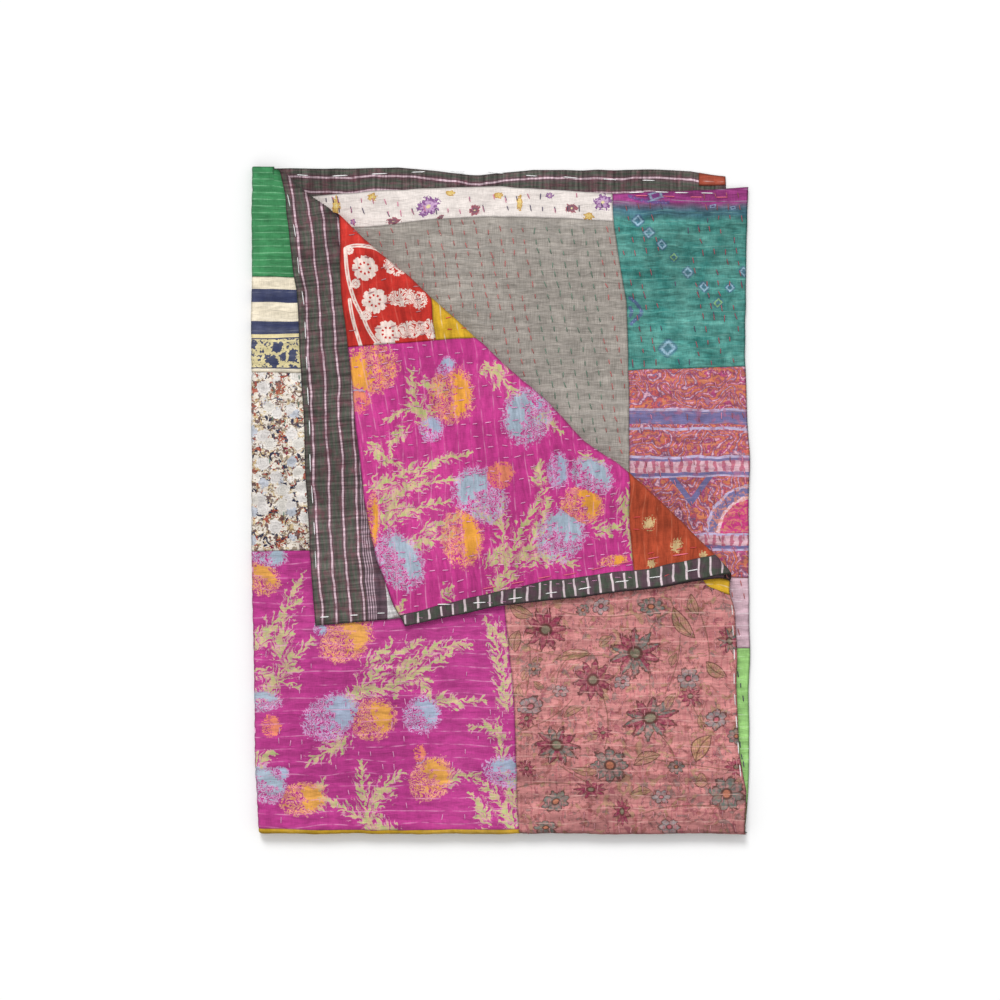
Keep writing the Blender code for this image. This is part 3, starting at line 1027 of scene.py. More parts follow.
chart_stems(
    "magenta_corner",
    (
        (11, (428, 420), (410, 400), (412, 372)),
        (8, (428, 410), (405, 405), (386, 420)),
        (8, (440, 388), (425, 385), (418, 384)),
        (12, (388, 520), (400, 480), (450, 455)),
        (9, (376, 488), (400, 470), (470, 452)),
        (9, (386, 500), (420, 480), (458, 478)),
        (9, (400, 515), (420, 505), (448, 500)),
        (8, (374, 448), (384, 462), (400, 466)),
        (7, (402, 430), (386, 442), (390, 462)),
        (8, (428, 530), (450, 520), (460, 514)),
        (9, (412, 545), (430, 540), (452, 534)),
        (10, (486, 370), (505, 380), (515, 400)),
        (9, (500, 372), (490, 365), (484, 366)),
        (8, (540, 420), (555, 425), (560, 432)),
        (12, (500, 590), (510, 540), (545, 490)),
        (12, (520, 560), (540, 530), (548, 500)),
        (12, (505, 560), (500, 530), (502, 500)),
        (10, (530, 560), (545, 552), (575, 565)),
        (9, (540, 480), (536, 470), (540, 462)),
        (9, (600, 530), (610, 532), (620, 524)),
        (8, (584, 458), (590, 465), (600, 462)),
        (10, (492, 560), (500, 552), (505, 540)),
        (9, (622, 500), (625, 520), (632, 560)),
        (8, (448, 592), (446, 588), (452, 586)),
        (7, (398, 612), (402, 604), (404, 600)),
        (8, (478, 512), (490, 520), (500, 525)),
    ),
    TURNED,
)


# %% Drawing the magenta print
def peony_print(ground, orange, straw, lime):
    """Two-tone blooms, half solid and half lace, and leafy sprays with a pale rim on a plain ground."""

    def draw(tree, place):
        lean, _, kind, far = in_bloom(tree)
        lobes = add(tree, "TexNoise", {"Vector": place, "Scale": 0.14, "Detail": 4.0, "Roughness": 0.7})
        speck = add(tree, "TexNoise", {"Vector": place, "Scale": 0.115, "Detail": 2.0, "Distortion": 1.4})
        speck = add(tree, "Math", speck, 0.080, operation="PINGPONG")
        reach = add(tree, "MapRange", lobes, 0.3, 0.7, -0.24, 0.24)
        reach = add(tree, "Math", far, 0.90, reach, operation="MULTIPLY_ADD")
        inside = add(tree, "MapRange", reach, 1.02, 0.98, 0.0, 1.0)
        solid = add(tree, "Math", lean, 0.42, operation="MULTIPLY")
        solid = add(tree, "Math", solid, lobes, operation="ADD")
        core = add(tree, "MapRange", reach, 0.80, 0.76, 0.0, 1.0)
        solid = add(tree, "MapRange", solid, 0.53, 0.55, 0.0, 1.0)
        solid = add(tree, "Math", solid, core, operation="MULTIPLY")
        speck = add(tree, "MapRange", speck, 0.048, 0.036, 0.0, 1.0)
        marked = add(tree, "Math", solid, speck, operation="MAXIMUM")
        inside = add(tree, "Math", inside, marked, operation="MULTIPLY")
        step = add(tree, "Math", kind, 4.0, operation="DIVIDE")
        petals = shades(
            tree, step, ((0.0, orange), (0.125, "#a8b8c8"), (0.375, "#a9b4cc"), (0.625, "#e8896a"))
        )
        specks = shades(
            tree, step, ((0.0, "#eca48c"), (0.125, "#d0a4c8"), (0.375, "#d4a0cc"), (0.625, "#e8896a"))
        )
        tint = add(tree, "MapRange", lobes, 0.44, 0.58, 0.0, 1.0)
        tint = add(tree, "Math", tint, solid, operation="MAXIMUM")
        hue = add(tree, "Mix", {0: tint, 6: specks, 7: petals}, data_type="RGBA", out=2)
        sprig = add(tree, "Attribute", attribute_name="sprig", out="Vector")
        away = add(tree, "Attribute", attribute_name="sprig_far", out="Fac")
        bent = add(tree, "TexNoise", {"Vector": place, "Scale": 0.10, "Detail": 3.0}, out="Color")
        bent = add(tree, "VectorMath", bent, (0.5, 0.5, 0.5), operation="SUBTRACT")
        bent = add(tree, "VectorMath", bent, {3: 16.0}, operation="SCALE")
        sprig = add(tree, "VectorMath", sprig, bent, operation="ADD")
        run, side, length = (add(tree, "SeparateXYZ", sprig, out=i) for i in range(3))
        out = add(tree, "Math", side, operation="ABSOLUTE")
        pair = add(tree, "Math", side, 0.0, operation="GREATER_THAN")
        along = add(tree, "Math", out, 0.75, run, operation="MULTIPLY_ADD")
        off = add(tree, "Math", run, -0.75, out, operation="MULTIPLY_ADD")
        along = add(tree, "Math", along, 0.042, operation="MULTIPLY")
        off = add(tree, "Math", off, 0.20, operation="MULTIPLY")
        blade = add(tree, "CombineXYZ", along, off, pair)
        blade = add(tree, "TexNoise", {"Vector": blade, "Scale": 1.0, "Detail": 4.0, "Roughness": 0.55})
        share = add(tree, "Math", away, length, operation="DIVIDE")
        limit = add(tree, "MapRange", share, 0.0, 1.35, 0.47, 0.64)
        leaf = add(tree, "Math", blade, limit, operation="GREATER_THAN")
        rim = add(tree, "Math", blade, 0.034, operation="ADD")
        rim = add(tree, "Math", rim, limit, operation="GREATER_THAN")
        within = add(tree, "Math", share, 1.35, operation="LESS_THAN")
        leaf = add(tree, "Math", leaf, within, operation="MULTIPLY")
        rim = add(tree, "Math", rim, within, operation="MULTIPLY")
        stem = add(tree, "Math", out, 0.9, operation="LESS_THAN")
        close = add(tree, "Math", away, 4.0, operation="LESS_THAN")
        stem = add(tree, "Math", stem, close, operation="MULTIPLY")
        leaf = add(tree, "Math", leaf, stem, operation="MAXIMUM")
        green = add(tree, "TexNoise", {"Vector": place, "Scale": 0.12, "Detail": 3.0})
        green = add(tree, "MapRange", green, 0.47, 0.60, 0.0, 0.9)
        green = add(tree, "Mix", {0: green, 6: straw, 7: lime}, data_type="RGBA", out=2)
        rim = add(tree, "Math", rim, 0.75, operation="MULTIPLY")
        colour = add(tree, "Mix", {0: rim, 6: ground, 7: "#dca0b8"}, data_type="RGBA", out=2)
        colour = add(tree, "Mix", {0: leaf, 6: colour, 7: green}, data_type="RGBA", out=2)
        return add(tree, "Mix", {0: inside, 6: colour, 7: hue}, data_type="RGBA", out=2)

    return draw


# %% The two magenta cottons
first_sari = cotton(
    "faded magenta print",
    peony_print("#b83c88", "#e4a452", "#cdb68c", "#b4c07c"),
    lines=0.62,
    pale="#e8a0c8",
)
corner_sari = cotton(
    "bright magenta print",
    peony_print("#c53c8b", "#eca444", "#cfb88c", "#b8c478"),
    lines=0.45,
    pale="#eea8cc",
)
wear_on(first_sari, "magenta_floral")
wear_on(corner_sari, "magenta_corner")

# %% [markdown]
# ## The salmon print
# A soft old sari print: dusty salmon, with pointed plum flowers, grey-green rosettes, olive leaves and thin
# vines. The petals are drawn from the angle round each flower's centre, and thin dark outlines follow their
# edges.

# %% Blooms and vines of the salmon print
POINTED, TWO_TONE, ROUND, ROSETTE, LEAF, PLUME = 0, 1, 2, 3, 4, 5
chart_blooms(
    "salmon_floral",
    (
        (545, 629, 19, 20, 80, POINTED),
        (592, 679, 19, 18, 10, POINTED),
        (634, 652, 24, 22, 20, TWO_TONE),
        (649, 717, 25, 20, 15, TWO_TONE),
        (556, 744, 17, 21, 70, TWO_TONE),
        (609, 764, 18, 17, 0, ROUND),
        (725, 792, 18, 17, 30, ROUND),
        (687, 677, 11, 11, 0, ROSETTE),
        (689, 695, 10, 9, 0, POINTED),
        (520, 611, 14, 7, 155, LEAF),
        (515, 640, 12, 7, 80, LEAF),
        (681, 622, 20, 8, 125, LEAF),
        (572, 655, 19, 6, 10, LEAF),
        (714, 669, 14, 7, 145, LEAF),
        (672, 658, 8, 4, 70, LEAF),
        (692, 604, 12, 6, 110, LEAF),
        (700, 746, 17, 10, 60, PLUME),
        (645, 757, 16, 7, 20, LEAF),
        (585, 770, 15, 5, 175, LEAF),
        (621, 810, 13, 8, 90, POINTED),
        (590, 788, 15, 8, 0, POINTED),
        (530, 705, 13, 10, 20, ROSETTE),
        (526, 717, 9, 8, 70, POINTED),
        (555, 800, 14, 10, 20, ROUND),
        (713, 580, 13, 10, 10, TWO_TONE),
        (650, 605, 13, 9, 170, ROUND),
        (600, 605, 9, 8, 30, ROSETTE),
        (582, 609, 7, 6, 20, ROUND),
        (728, 640, 10, 13, 30, TWO_TONE),
        (715, 718, 12, 10, 30, ROSETTE),
        (735, 735, 9, 8, 0, ROUND),
        (735, 765, 11, 9, 0, POINTED),
        (602, 731, 6, 9, 90, POINTED),
        (526, 767, 7, 9, 60, POINTED),
        (660, 795, 9, 7, 0, ROSETTE),
        (545, 826, 12, 7, 0, ROUND),
        (668, 825, 11, 8, 0, ROSETTE),
        (622, 680, 9, 7, 30, ROSETTE),
        (533, 668, 8, 7, 0, ROUND),
        (670, 838, 9, 9, 0, ROSETTE),
        (560, 690, 8, 6, 0, ROSETTE),
        (675, 765, 8, 7, 0, ROUND),
        (700, 780, 7, 8, 0, LEAF),
        (524, 674, 7, 4, 60, LEAF),
        (536, 660, 7, 4, 20, LEAF),
        (519, 690, 7, 4, 110, LEAF),
        (538, 684, 7, 4, 150, LEAF),
        (604, 640, 9, 5, 40, LEAF),
        (572, 710, 12, 5, 30, LEAF),
        (668, 700, 12, 5, 60, LEAF),
        (700, 720, 9, 4, 100, LEAF),
        (640, 790, 12, 5, 10, LEAF),
    ),
)
chart_stems(
    "salmon_floral",
    (
        (2.5, (590, 655), (560, 650), (556, 680)),
        (2.5, (520, 640), (540, 660), (600, 655)),
        (2.5, (670, 600), (690, 640), (665, 690)),
        (2.5, (672, 610), (640, 620), (650, 650)),
        (2.5, (648, 672), (650, 690), (648, 702)),
        (2.5, (730, 768), (690, 765), (640, 755)),
        (2.5, (515, 786), (540, 780), (566, 782)),
        (2.5, (570, 700), (560, 715), (520, 730)),
        (2.5, (600, 690), (612, 720), (604, 745)),
        (2.5, (660, 735), (670, 745), (672, 752)),
        (2.5, (560, 765), (575, 775), (600, 790)),
        (2.5, (690, 700), (700, 730), (716, 722)),
        (2.5, (640, 812), (670, 800), (720, 805)),
        (2.5, (528, 640), (532, 660), (526, 690)),
        (2.5, (560, 610), (590, 620), (640, 612)),
        (2.5, (700, 615), (712, 650), (706, 668)),
    ),
)


# %% Drawing the salmon print
def sprigged_print(ground, plum, grey_green, olive):
    """Outlined flowers of several kinds, with vines, on a soft ground."""

    def draw(tree, place):
        x, y, kind, far = in_bloom(tree)
        step = add(tree, "Math", kind, 6.0, operation="DIVIDE")
        angle = add(tree, "Math", y, x, operation="ARCTAN2")
        count = add(tree, "MapRange", kind, 1.0, 3.0, 5.0 / math.pi, 3.0 / math.pi)
        turn = add(tree, "Math", angle, count, operation="MULTIPLY")
        gap = add(tree, "Math", turn, 0.5, operation="PINGPONG")
        pointed = add(tree, "MapRange", gap, 0.0, 0.5, 1.12, 0.60)
        rounded = add(tree, "Math", gap, gap, operation="MULTIPLY")
        rounded = add(tree, "MapRange", rounded, 0.0, 0.25, 1.0, 0.70)
        small = add(tree, "Math", kind, 1.5, operation="GREATER_THAN")
        ragged = add(tree, "TexNoise", {"Vector": place, "Scale": 0.22, "Detail": 3.0})
        ragged = add(tree, "MapRange", ragged, 0.3, 0.7, -0.13, 0.13)
        edge = add(tree, "Mix", {0: small, 2: pointed, 3: rounded})
        edge = add(tree, "Math", edge, ragged, operation="ADD")
        past = add(tree, "Math", far, edge, operation="SUBTRACT")
        leaf_x = add(tree, "Math", x, x, operation="MULTIPLY")
        leaf_y = add(tree, "Math", leaf_x, 0.45, y, operation="MULTIPLY_ADD")
        leaf_y = add(tree, "Math", leaf_y, 0.15, operation="SUBTRACT")
        leaf_y = add(tree, "Math", leaf_y, operation="ABSOLUTE")
        past_leaf = add(tree, "Math", leaf_y, leaf_x, operation="ADD")
        past_leaf = add(tree, "Math", past_leaf, 0.85, operation="SUBTRACT")
        leafy = add(tree, "Math", kind, 3.5, operation="GREATER_THAN")
        past = add(tree, "Mix", {0: leafy, 2: past, 3: past_leaf})
        inside = add(tree, "MapRange", past, 0.02, -0.02, 0.0, 1.0)
        outline = add(tree, "Math", past, operation="ABSOLUTE")
        outline = add(tree, "MapRange", outline, 0.10, 0.03, 0.0, 0.80)
        not_leaf = add(tree, "Math", 1.0, leafy, operation="SUBTRACT")
        parted = add(tree, "MapRange", gap, 0.38, 0.47, 0.0, 0.55)
        ring = off_by(tree, far, 0.28)
        ring = add(tree, "MapRange", ring, 0.09, 0.04, 0.0, 0.85)
        petals = add(tree, "Math", parted, ring, operation="MAXIMUM")
        petals = add(tree, "Math", petals, not_leaf, operation="MULTIPLY")
        midrib = add(tree, "MapRange", leaf_y, 0.10, 0.05, 0.0, 0.65)
        veins = add(tree, "Math", leaf_y, -0.9, x, operation="MULTIPLY_ADD")
        veins = add(tree, "Math", veins, 0.13, operation="PINGPONG")
        veins = add(tree, "MapRange", veins, 0.045, 0.020, 0.0, 0.40)
        veins = add(
            tree, "Math", add(tree, "Math", midrib, veins, operation="MAXIMUM"), leafy, operation="MULTIPLY"
        )
        drawn = add(
            tree, "Math", add(tree, "Math", petals, veins, operation="MAXIMUM"), inside, operation="MULTIPLY"
        )
        outline = add(tree, "Math", outline, drawn, operation="MAXIMUM")
        whole = shades(
            tree,
            step,
            ((0.0, plum), (0.25, grey_green), (0.42, "#8f8e90"), (0.58, olive), (0.75, "#b8a060")),
        )
        other = add(tree, "Math", angle, 2.5, operation="MULTIPLY")
        other = add(tree, "Math", other, operation="SINE")
        other = add(tree, "MapRange", other, -0.1, 0.1, 0.0, 1.0)
        both = add(tree, "Math", kind, 1.0, operation="COMPARE")
        other = add(tree, "Math", other, both, operation="MULTIPLY")
        whole = add(tree, "Mix", {0: other, 6: whole, 7: grey_green}, data_type="RGBA", out=2)
        plums = add(tree, "Math", kind, 1.5, operation="LESS_THAN")
        single = add(tree, "Math", kind, 0.5, operation="GREATER_THAN")
        plums = add(tree, "Math", plums, single, operation="MULTIPLY")
        swap = add(tree, "Math", 1.0, other, operation="SUBTRACT")
        plums = add(tree, "Math", plums, swap, operation="MULTIPLY")
        whole = add(tree, "Mix", {0: plums, 6: whole, 7: plum}, data_type="RGBA", out=2)
        heart = add(tree, "MapRange", far, 0.26, 0.22, 0.0, 0.8)
        heart = add(tree, "Math", heart, not_leaf, operation="MULTIPLY")
        hearts = shades(tree, step, ((0.0, "#7d8068"), (0.25, "#c87858"), (0.42, "#c05868")))
        washed = add(tree, "TexNoise", {"Vector": place, "Scale": 0.22, "Detail": 4.0})
        washed = add(tree, "MapRange", washed, 0.38, 0.62, 0.30, 0.92)
        inside = add(tree, "Math", inside, washed, operation="MULTIPLY")
        inside = add(
            tree, "Math", inside, add(tree, "MapRange", leafy, 0.0, 1.0, 1.0, 0.62), operation="MULTIPLY"
        )
        sprig = add(tree, "Attribute", attribute_name="sprig", out="Vector")
        away = add(tree, "Attribute", attribute_name="sprig_far", out="Fac")
        side = add(tree, "Math", add(tree, "SeparateXYZ", sprig, out=1), operation="ABSOLUTE")
        vine = add(tree, "MapRange", side, 1.0, 0.5, 0.0, 0.6)
        close = add(tree, "Math", away, 3.5, operation="LESS_THAN")
        vine = add(tree, "Math", vine, close, operation="MULTIPLY")
        streak = add(tree, "Mapping", place, {"Scale": (0.28, 0.018, 1)})
        streak = add(tree, "TexNoise", {"Vector": streak, "Scale": 1.0, "Detail": 4.0})
        streak = add(tree, "MapRange", streak, 0.50, 0.72, 0.0, 0.55)
        colour = add(tree, "Mix", {0: streak, 6: ground, 7: "#a8485a"}, data_type="RGBA", out=2)
        for code, seed, size, share in (
            (plum, 3.0, 0.060, 0.61),
            (grey_green, 40.0, 0.055, 0.61),
            (olive, 90.0, 0.052, 0.60),
            ("#8a4a40", 150.0, 0.075, 0.60),
        ):
            moved = add(tree, "VectorMath", place, (seed * 7, seed * 11, 0), operation="ADD")
            leaves = add(
                tree, "TexNoise", {"Vector": moved, "Scale": size, "Detail": 3.0, "Distortion": 1.6}
            )
            filled = add(tree, "MapRange", leaves, share, share + 0.03, 0.0, 0.48)
            rim = off_by(tree, leaves, share)
            rim = add(tree, "MapRange", rim, 0.010, 0.003, 0.0, 0.60)
            colour = add(tree, "Mix", {0: filled, 6: colour, 7: code}, data_type="RGBA", out=2)
            colour = add(tree, "Mix", {0: rim, 6: colour, 7: "#5a3a34"}, data_type="RGBA", out=2)
        # Painted shade: three darker bands across the lower part of the print, near the bottom fold.
        up = wavering(tree, place, ALONG_Q, 16.0, 70.0)
        for height, reach, depth in ((78.0, 7.0, 0.72), (57.0, 12.0, 0.66), (22.0, 24.0, 0.72)):
            band = off_by(tree, up, height)
            band = add(tree, "MapRange", band, 0.0, reach, depth, 1.0, interpolation_type="SMOOTHSTEP")
            colour = add(tree, "VectorMath", colour, band, operation="MULTIPLY")
        colour = add(tree, "Mix", {0: vine, 6: colour, 7: "#6a5038"}, data_type="RGBA", out=2)
        colour = add(tree, "Mix", {0: inside, 6: colour, 7: whole}, data_type="RGBA", out=2)
        colour = add(tree, "Mix", {0: heart, 6: colour, 7: hearts}, data_type="RGBA", out=2)
        return add(tree, "Mix", {0: outline, 6: colour, 7: "#58352e"}, data_type="RGBA", out=2)

    return draw


# %% The salmon cotton
salmon_dyes = ("#cf8a88", "#88284c", "#64746e", "#a09060")
salmon_sari = cotton(
    "dusty salmon print", sprigged_print(*salmon_dyes), crinkle_shading=0.20, lines=0.55, pale="#ecbcb4"
)
wear_on(salmon_sari, "salmon_floral")

# %% [markdown]
# ## The small floral, and the white strip
# Two pale cottons with small flowers: one crowded with grey roses, rust clusters and dark spots, the other
# nearly bare, with a few pansies and gold sprigs.

# %% Flowers of the pale strip
PANSY, GOLD, BERRY = 0, 1, 2
chart_blooms(
    "white_strip",
    (
        (428, 207, 12, 9, 30, PANSY),
        (393, 221, 7, 4, 0, BERRY),
        (474, 211, 6, 5, 40, BERRY),
        (440, 218, 4, 2, 30, BERRY),
        (336, 205, 4, 10, 0, GOLD),
        (519, 203, 3, 9, 0, GOLD),
        (571, 209, 6, 5, 0, BERRY),
        (602, 203, 9, 8, 20, PANSY),
        (588, 217, 5, 4, 0, GOLD),
        (549, 196, 4, 3, 0, PANSY),
        (498, 196, 5, 3, 0, GOLD),
        (450, 194, 5, 3, 0, GOLD),
        (372, 197, 5, 4, 0, GOLD),
        (353, 222, 3, 3, 0, PANSY),
    ),
)


# %% Drawing the two pale prints
def crowded_print(tree, place):
    """Small ringed roses, each in its own cell, with dark scraps and ochre strokes between them."""
    bend = add(tree, "TexNoise", {"Vector": place, "Scale": 0.20, "Detail": 3.0}, out="Color")
    bend = add(tree, "VectorMath", bend, {3: 7.0}, operation="SCALE")
    bent = add(tree, "VectorMath", place, bend, operation="ADD")
    rose = add(tree, "TexVoronoi", {"Vector": bent, "Scale": 0.056, "Randomness": 0.9})
    chance = add(tree, "TexVoronoi", {"Vector": bent, "Scale": 0.056, "Randomness": 0.9}, out=1)
    chance = add(tree, "SeparateColor", chance)
    ringed = add(tree, "Math", rose, 0.085, operation="PINGPONG")
    ringed = add(tree, "MapRange", ringed, 0.010, 0.034, 0.80, 1.0)
    shaded = add(tree, "MapRange", rose, 0.10, 0.48, 0.80, 1.0)
    ringed = add(tree, "Math", ringed, shaded, operation="MULTIPLY")
    tint = shades(
        tree,
        chance,
        ((0.0, "#ece6e2"), (0.28, "#ccd0da"), (0.50, "#b4583e"), (0.66, "#f2ece4"), (0.88, "#8f2a40")),
    )
    tint = add(tree, "VectorMath", tint, ringed, operation="MULTIPLY")
    size = shades(tree, chance, ((0.0, "#bcbcbc"), (0.28, "#acacac"), (0.66, "#b8b8b8"), (0.88, "#707070")))
    speck = add(tree, "TexNoise", {"Vector": place, "Scale": 0.42, "Detail": 2.0})
    ragged = add(tree, "MapRange", speck, 0.3, 0.7, -0.09, 0.09)
    inside = add(tree, "Math", add(tree, "Math", size, rose, operation="SUBTRACT"), ragged, operation="ADD")
    inside = add(tree, "MapRange", inside, 0.0, 0.02, 0.0, 1.0)
    rust = off_by(tree, chance, 0.58)
    rust = add(tree, "Math", rust, 0.08, operation="LESS_THAN")
    gone = add(tree, "MapRange", speck, 0.47, 0.50, 1.0, 0.0)
    inside = add(
        tree, "Math", inside, add(tree, "Math", rust, gone, operation="MULTIPLY"), operation="SUBTRACT"
    )
    colour = "#efe5d8"
    for code, seed, scale, share, strength in (
        ("#c9a860", 11.0, 0.11, 0.56, 0.7),
        ("#7c6448", 70.0, 0.15, 0.55, 0.8),
        ("#5c3a3c", 95.0, 0.10, 0.57, 0.9),
        ("#2d3048", 30.0, 0.085, 0.575, 1.0),
        ("#a8442e", 52.0, 0.11, 0.60, 0.9),
    ):
        moved = add(tree, "VectorMath", place, (seed * 5, seed * 3, 0), operation="ADD")
        scrap = add(tree, "TexNoise", {"Vector": moved, "Scale": scale, "Detail": 3.0, "Distortion": 1.4})
        scrap = add(tree, "MapRange", scrap, share, share + 0.02, 0.0, strength)
        colour = add(tree, "Mix", {0: scrap, 6: colour, 7: code}, data_type="RGBA", out=2)
    return add(tree, "Mix", {0: inside, 6: colour, 7: tint}, data_type="RGBA", out=2)


def strewn_flowers(tree, place):
    """A few whole flowers with pale hearts on bare cream."""
    x, y, kind, far = in_bloom(tree)
    turn = add(tree, "Math", add(tree, "Math", y, x, operation="ARCTAN2"), 2.5, operation="MULTIPLY")
    petal = add(tree, "Math", add(tree, "Math", turn, operation="COSINE"), operation="ABSOLUTE")
    ragged = add(tree, "TexNoise", {"Vector": place, "Scale": 0.35, "Detail": 3.0})
    ragged = add(tree, "MapRange", ragged, 0.3, 0.7, -0.30, 0.30)
    past = add(tree, "Math", far, add(tree, "MapRange", petal, 0.0, 0.7, 0.70, 1.0), operation="SUBTRACT")
    past = add(tree, "Math", past, ragged, operation="ADD")
    inside = add(tree, "MapRange", past, 0.04, -0.04, 0.0, 0.95)
    step = add(tree, "Math", kind, 3.0, operation="DIVIDE")
    outer = shades(tree, step, ((0.0, "#7c3c88"), (0.2, "#c8983c"), (0.5, "#a04a5a")))
    inner = shades(tree, step, ((0.0, "#c8a0c8"), (0.2, "#e8c870"), (0.5, "#7a5060")))
    near = add(tree, "MapRange", past, -0.42, -0.20, 0.0, 1.0)
    tint = add(tree, "Mix", {0: near, 6: inner, 7: outer}, data_type="RGBA", out=2)
    heart = add(tree, "MapRange", far, 0.24, 0.18, 0.0, 1.0)
    tint = add(tree, "Mix", {0: heart, 6: tint, 7: "#f0e0a8"}, data_type="RGBA", out=2)
    return add(tree, "Mix", {0: inside, 6: "#ece2dc", 7: tint}, data_type="RGBA", out=2)


wear_on(cotton("small floral print", crowded_print, lines=0.1, crinkle_shading=0.10), "small_floral")
wear_on(cotton("pale strip print", strewn_flowers, lines=0.1, furrow_shade=0.10, crinkle_shading=0.05), "white_strip")

# %% [markdown]
# ## The red block print
# White rounds and blocks stamped on red, inside a curling border line. Block printing leaves solid shapes
# with slightly uneven edges.

# %% Stamps and border of the red print
ROUNDEL, BLOCK = 0, 1
chart_blooms(
    "red_print",
    (
        (365, 268, 13, 13, 0, ROUNDEL),
        (375, 301, 13, 13, 10, ROUNDEL),
        (388, 334, 13, 13, 20, ROUNDEL),
        (394, 267, 12, 9, 140, BLOCK),
        (402, 298, 15, 9, 5, BLOCK),
        (419, 301, 9, 8, 100, BLOCK),
        (412, 330, 17, 9, 10, BLOCK),
        (430, 330, 6, 12, 10, BLOCK),
        (350, 250, 5, 5, 0, ROUNDEL),
        (356, 284, 5, 5, 0, ROUNDEL),
        (366, 316, 6, 5, 0, ROUNDEL),
        (378, 348, 5, 5, 0, ROUNDEL),
    ),
    TURNED,
)
chart_stems(
    "red_print",
    (
        (2, (346, 249), (346, 262), (348, 275)),
        (2, (348, 275), (352, 300), (364, 318)),
        (2, (364, 318), (370, 340), (386, 352)),
        (2, (346, 249), (360, 240), (385, 252)),
        (2, (350, 300), (352, 320), (362, 350)),
    ),
    TURNED,
)


# %% Drawing the red print
def stamped(tree, place):
    """Lobed rounds with a ring of red dots, blocks with red curls, and a double border line."""
    x, y, kind, far = in_bloom(tree)
    angle = add(tree, "Math", y, x, operation="ARCTAN2")
    lobes = add(tree, "Math", add(tree, "Math", angle, 4.0, operation="MULTIPLY"), operation="COSINE")
    lobes = add(tree, "Math", lobes, operation="ABSOLUTE")
    edge = add(tree, "MapRange", lobes, 0.0, 0.6, 0.80, 0.98)
    uneven = add(tree, "TexNoise", {"Vector": place, "Scale": 0.30, "Detail": 3.0})
    uneven = add(tree, "MapRange", uneven, 0.3, 0.7, -0.08, 0.08)
    past = add(tree, "Math", far, edge, operation="SUBTRACT")
    past = add(tree, "Math", past, uneven, operation="ADD")
    white = add(tree, "MapRange", past, 0.02, -0.02, 0.0, 1.0)
    ring = off_by(tree, far, 0.42)
    ring = add(tree, "MapRange", ring, 0.10, 0.07, 0.0, 1.0)
    dots = add(tree, "Math", lobes, 0.75, operation="GREATER_THAN")
    ring = add(tree, "Math", ring, dots, operation="MULTIPLY")
    block = add(tree, "Math", kind, 0.5, operation="GREATER_THAN")
    curls = add(tree, "TexNoise", {"Vector": place, "Scale": 0.085, "Detail": 0.0, "Distortion": 1.2})
    curls = add(tree, "Math", curls, 0.075, operation="PINGPONG")
    curls = add(tree, "MapRange", curls, 0.018, 0.024, 1.0, 0.0)
    holes = add(tree, "Mix", {0: block, 2: ring, 3: curls})
    white = add(tree, "Math", white, holes, operation="SUBTRACT", use_clamp=True)
    away = add(tree, "Attribute", attribute_name="sprig_far", out="Fac")
    line = add(tree, "MapRange", away, 2.6, 2.2, 0.0, 1.0)
    inner = add(tree, "MapRange", away, 0.9, 0.6, 0.0, 0.7)
    line = add(tree, "Math", line, inner, operation="SUBTRACT", use_clamp=True)
    white = add(tree, "Math", white, line, operation="MAXIMUM")
    return add(tree, "Mix", {0: white, 6: "#c8362e", 7: "#f4e0d6"}, data_type="RGBA", out=2)


wear_on(cotton("red block print", stamped, pale="#e88878", cloud=0.2), "red_print")

# %% [markdown]
# ## Bands and stripes
# The navy and cream bands, the pale lines in the green cloth and the backing's stripes are all woven or
# printed along the cloth, so one ramp of colours along a flat coordinate draws each. The coordinate is bent
# a little, as the weave is after years of washing.

# %% A bent coordinate, and the banded cloths
def navy_and_cream(tree, place):
    """Cream and navy bands, and a lacy vine on the lowest."""
    at = wavering(tree, place, ALONG_Q, 3.0, 60.0)
    at = add(tree, "MapRange", at, 600.0, 727.0, 0.0, 1.0)
    cream, navy = "#ece0c8", "#3c4262"
    rows = (
        (0.0, cream), (0.042, navy), (0.362, "#e6d6a4"), (0.40, navy), (0.535, cream), (0.73, navy),
        (0.862, cream),
    )
    bands = shades(tree, at, rows)
    lace = add(
        tree, "TexVoronoi", {"Vector": place, "Scale": 0.062, "Randomness": 1.0}, feature="DISTANCE_TO_EDGE"
    )
    ragged = add(tree, "TexNoise", {"Vector": place, "Scale": 0.35, "Detail": 2.0})
    lace = add(tree, "Math", lace, add(tree, "MapRange", ragged, 0.3, 0.7, -0.12, 0.12), operation="ADD")
    lace = add(tree, "MapRange", lace, 0.13, 0.10, 0.0, 1.0)
    low = add(tree, "Math", at, 0.055, operation="GREATER_THAN")
    high = add(tree, "Math", at, 0.35, operation="LESS_THAN")
    lace = add(tree, "Math", lace, add(tree, "Math", low, high, operation="MULTIPLY"), operation="MULTIPLY")
    return add(tree, "Mix", {0: lace, 6: bands, 7: "#ddcf9c"}, data_type="RGBA", out=2)


def green_with_lines(tree, place):
    """Green with broken pale lines across."""
    at = wavering(tree, place, ALONG_Q, 3.0, 80.0)
    line = add(tree, "Math", at, 4.35, operation="PINGPONG")
    line = add(tree, "MapRange", line, 0.9, 0.3, 0.0, 0.55)
    broken = add(tree, "TexNoise", {"Vector": place, "Scale": 0.08, "Detail": 3.0})
    line = add(tree, "Math", line, add(tree, "MapRange", broken, 0.35, 0.55, 0.2, 1.0), operation="MULTIPLY")
    return add(tree, "Mix", {0: line, 6: "#438c5a", 7: "#92cca0"}, data_type="RGBA", out=2)


wear_on(cotton("navy and cream bands", navy_and_cream, lines=0.08, furrow_shade=0.12), "navy_bands")
wear_on(cotton("green striped cotton", green_with_lines, lines=0.0, cloud=0.2, pale="#9ad8a8"), "green")

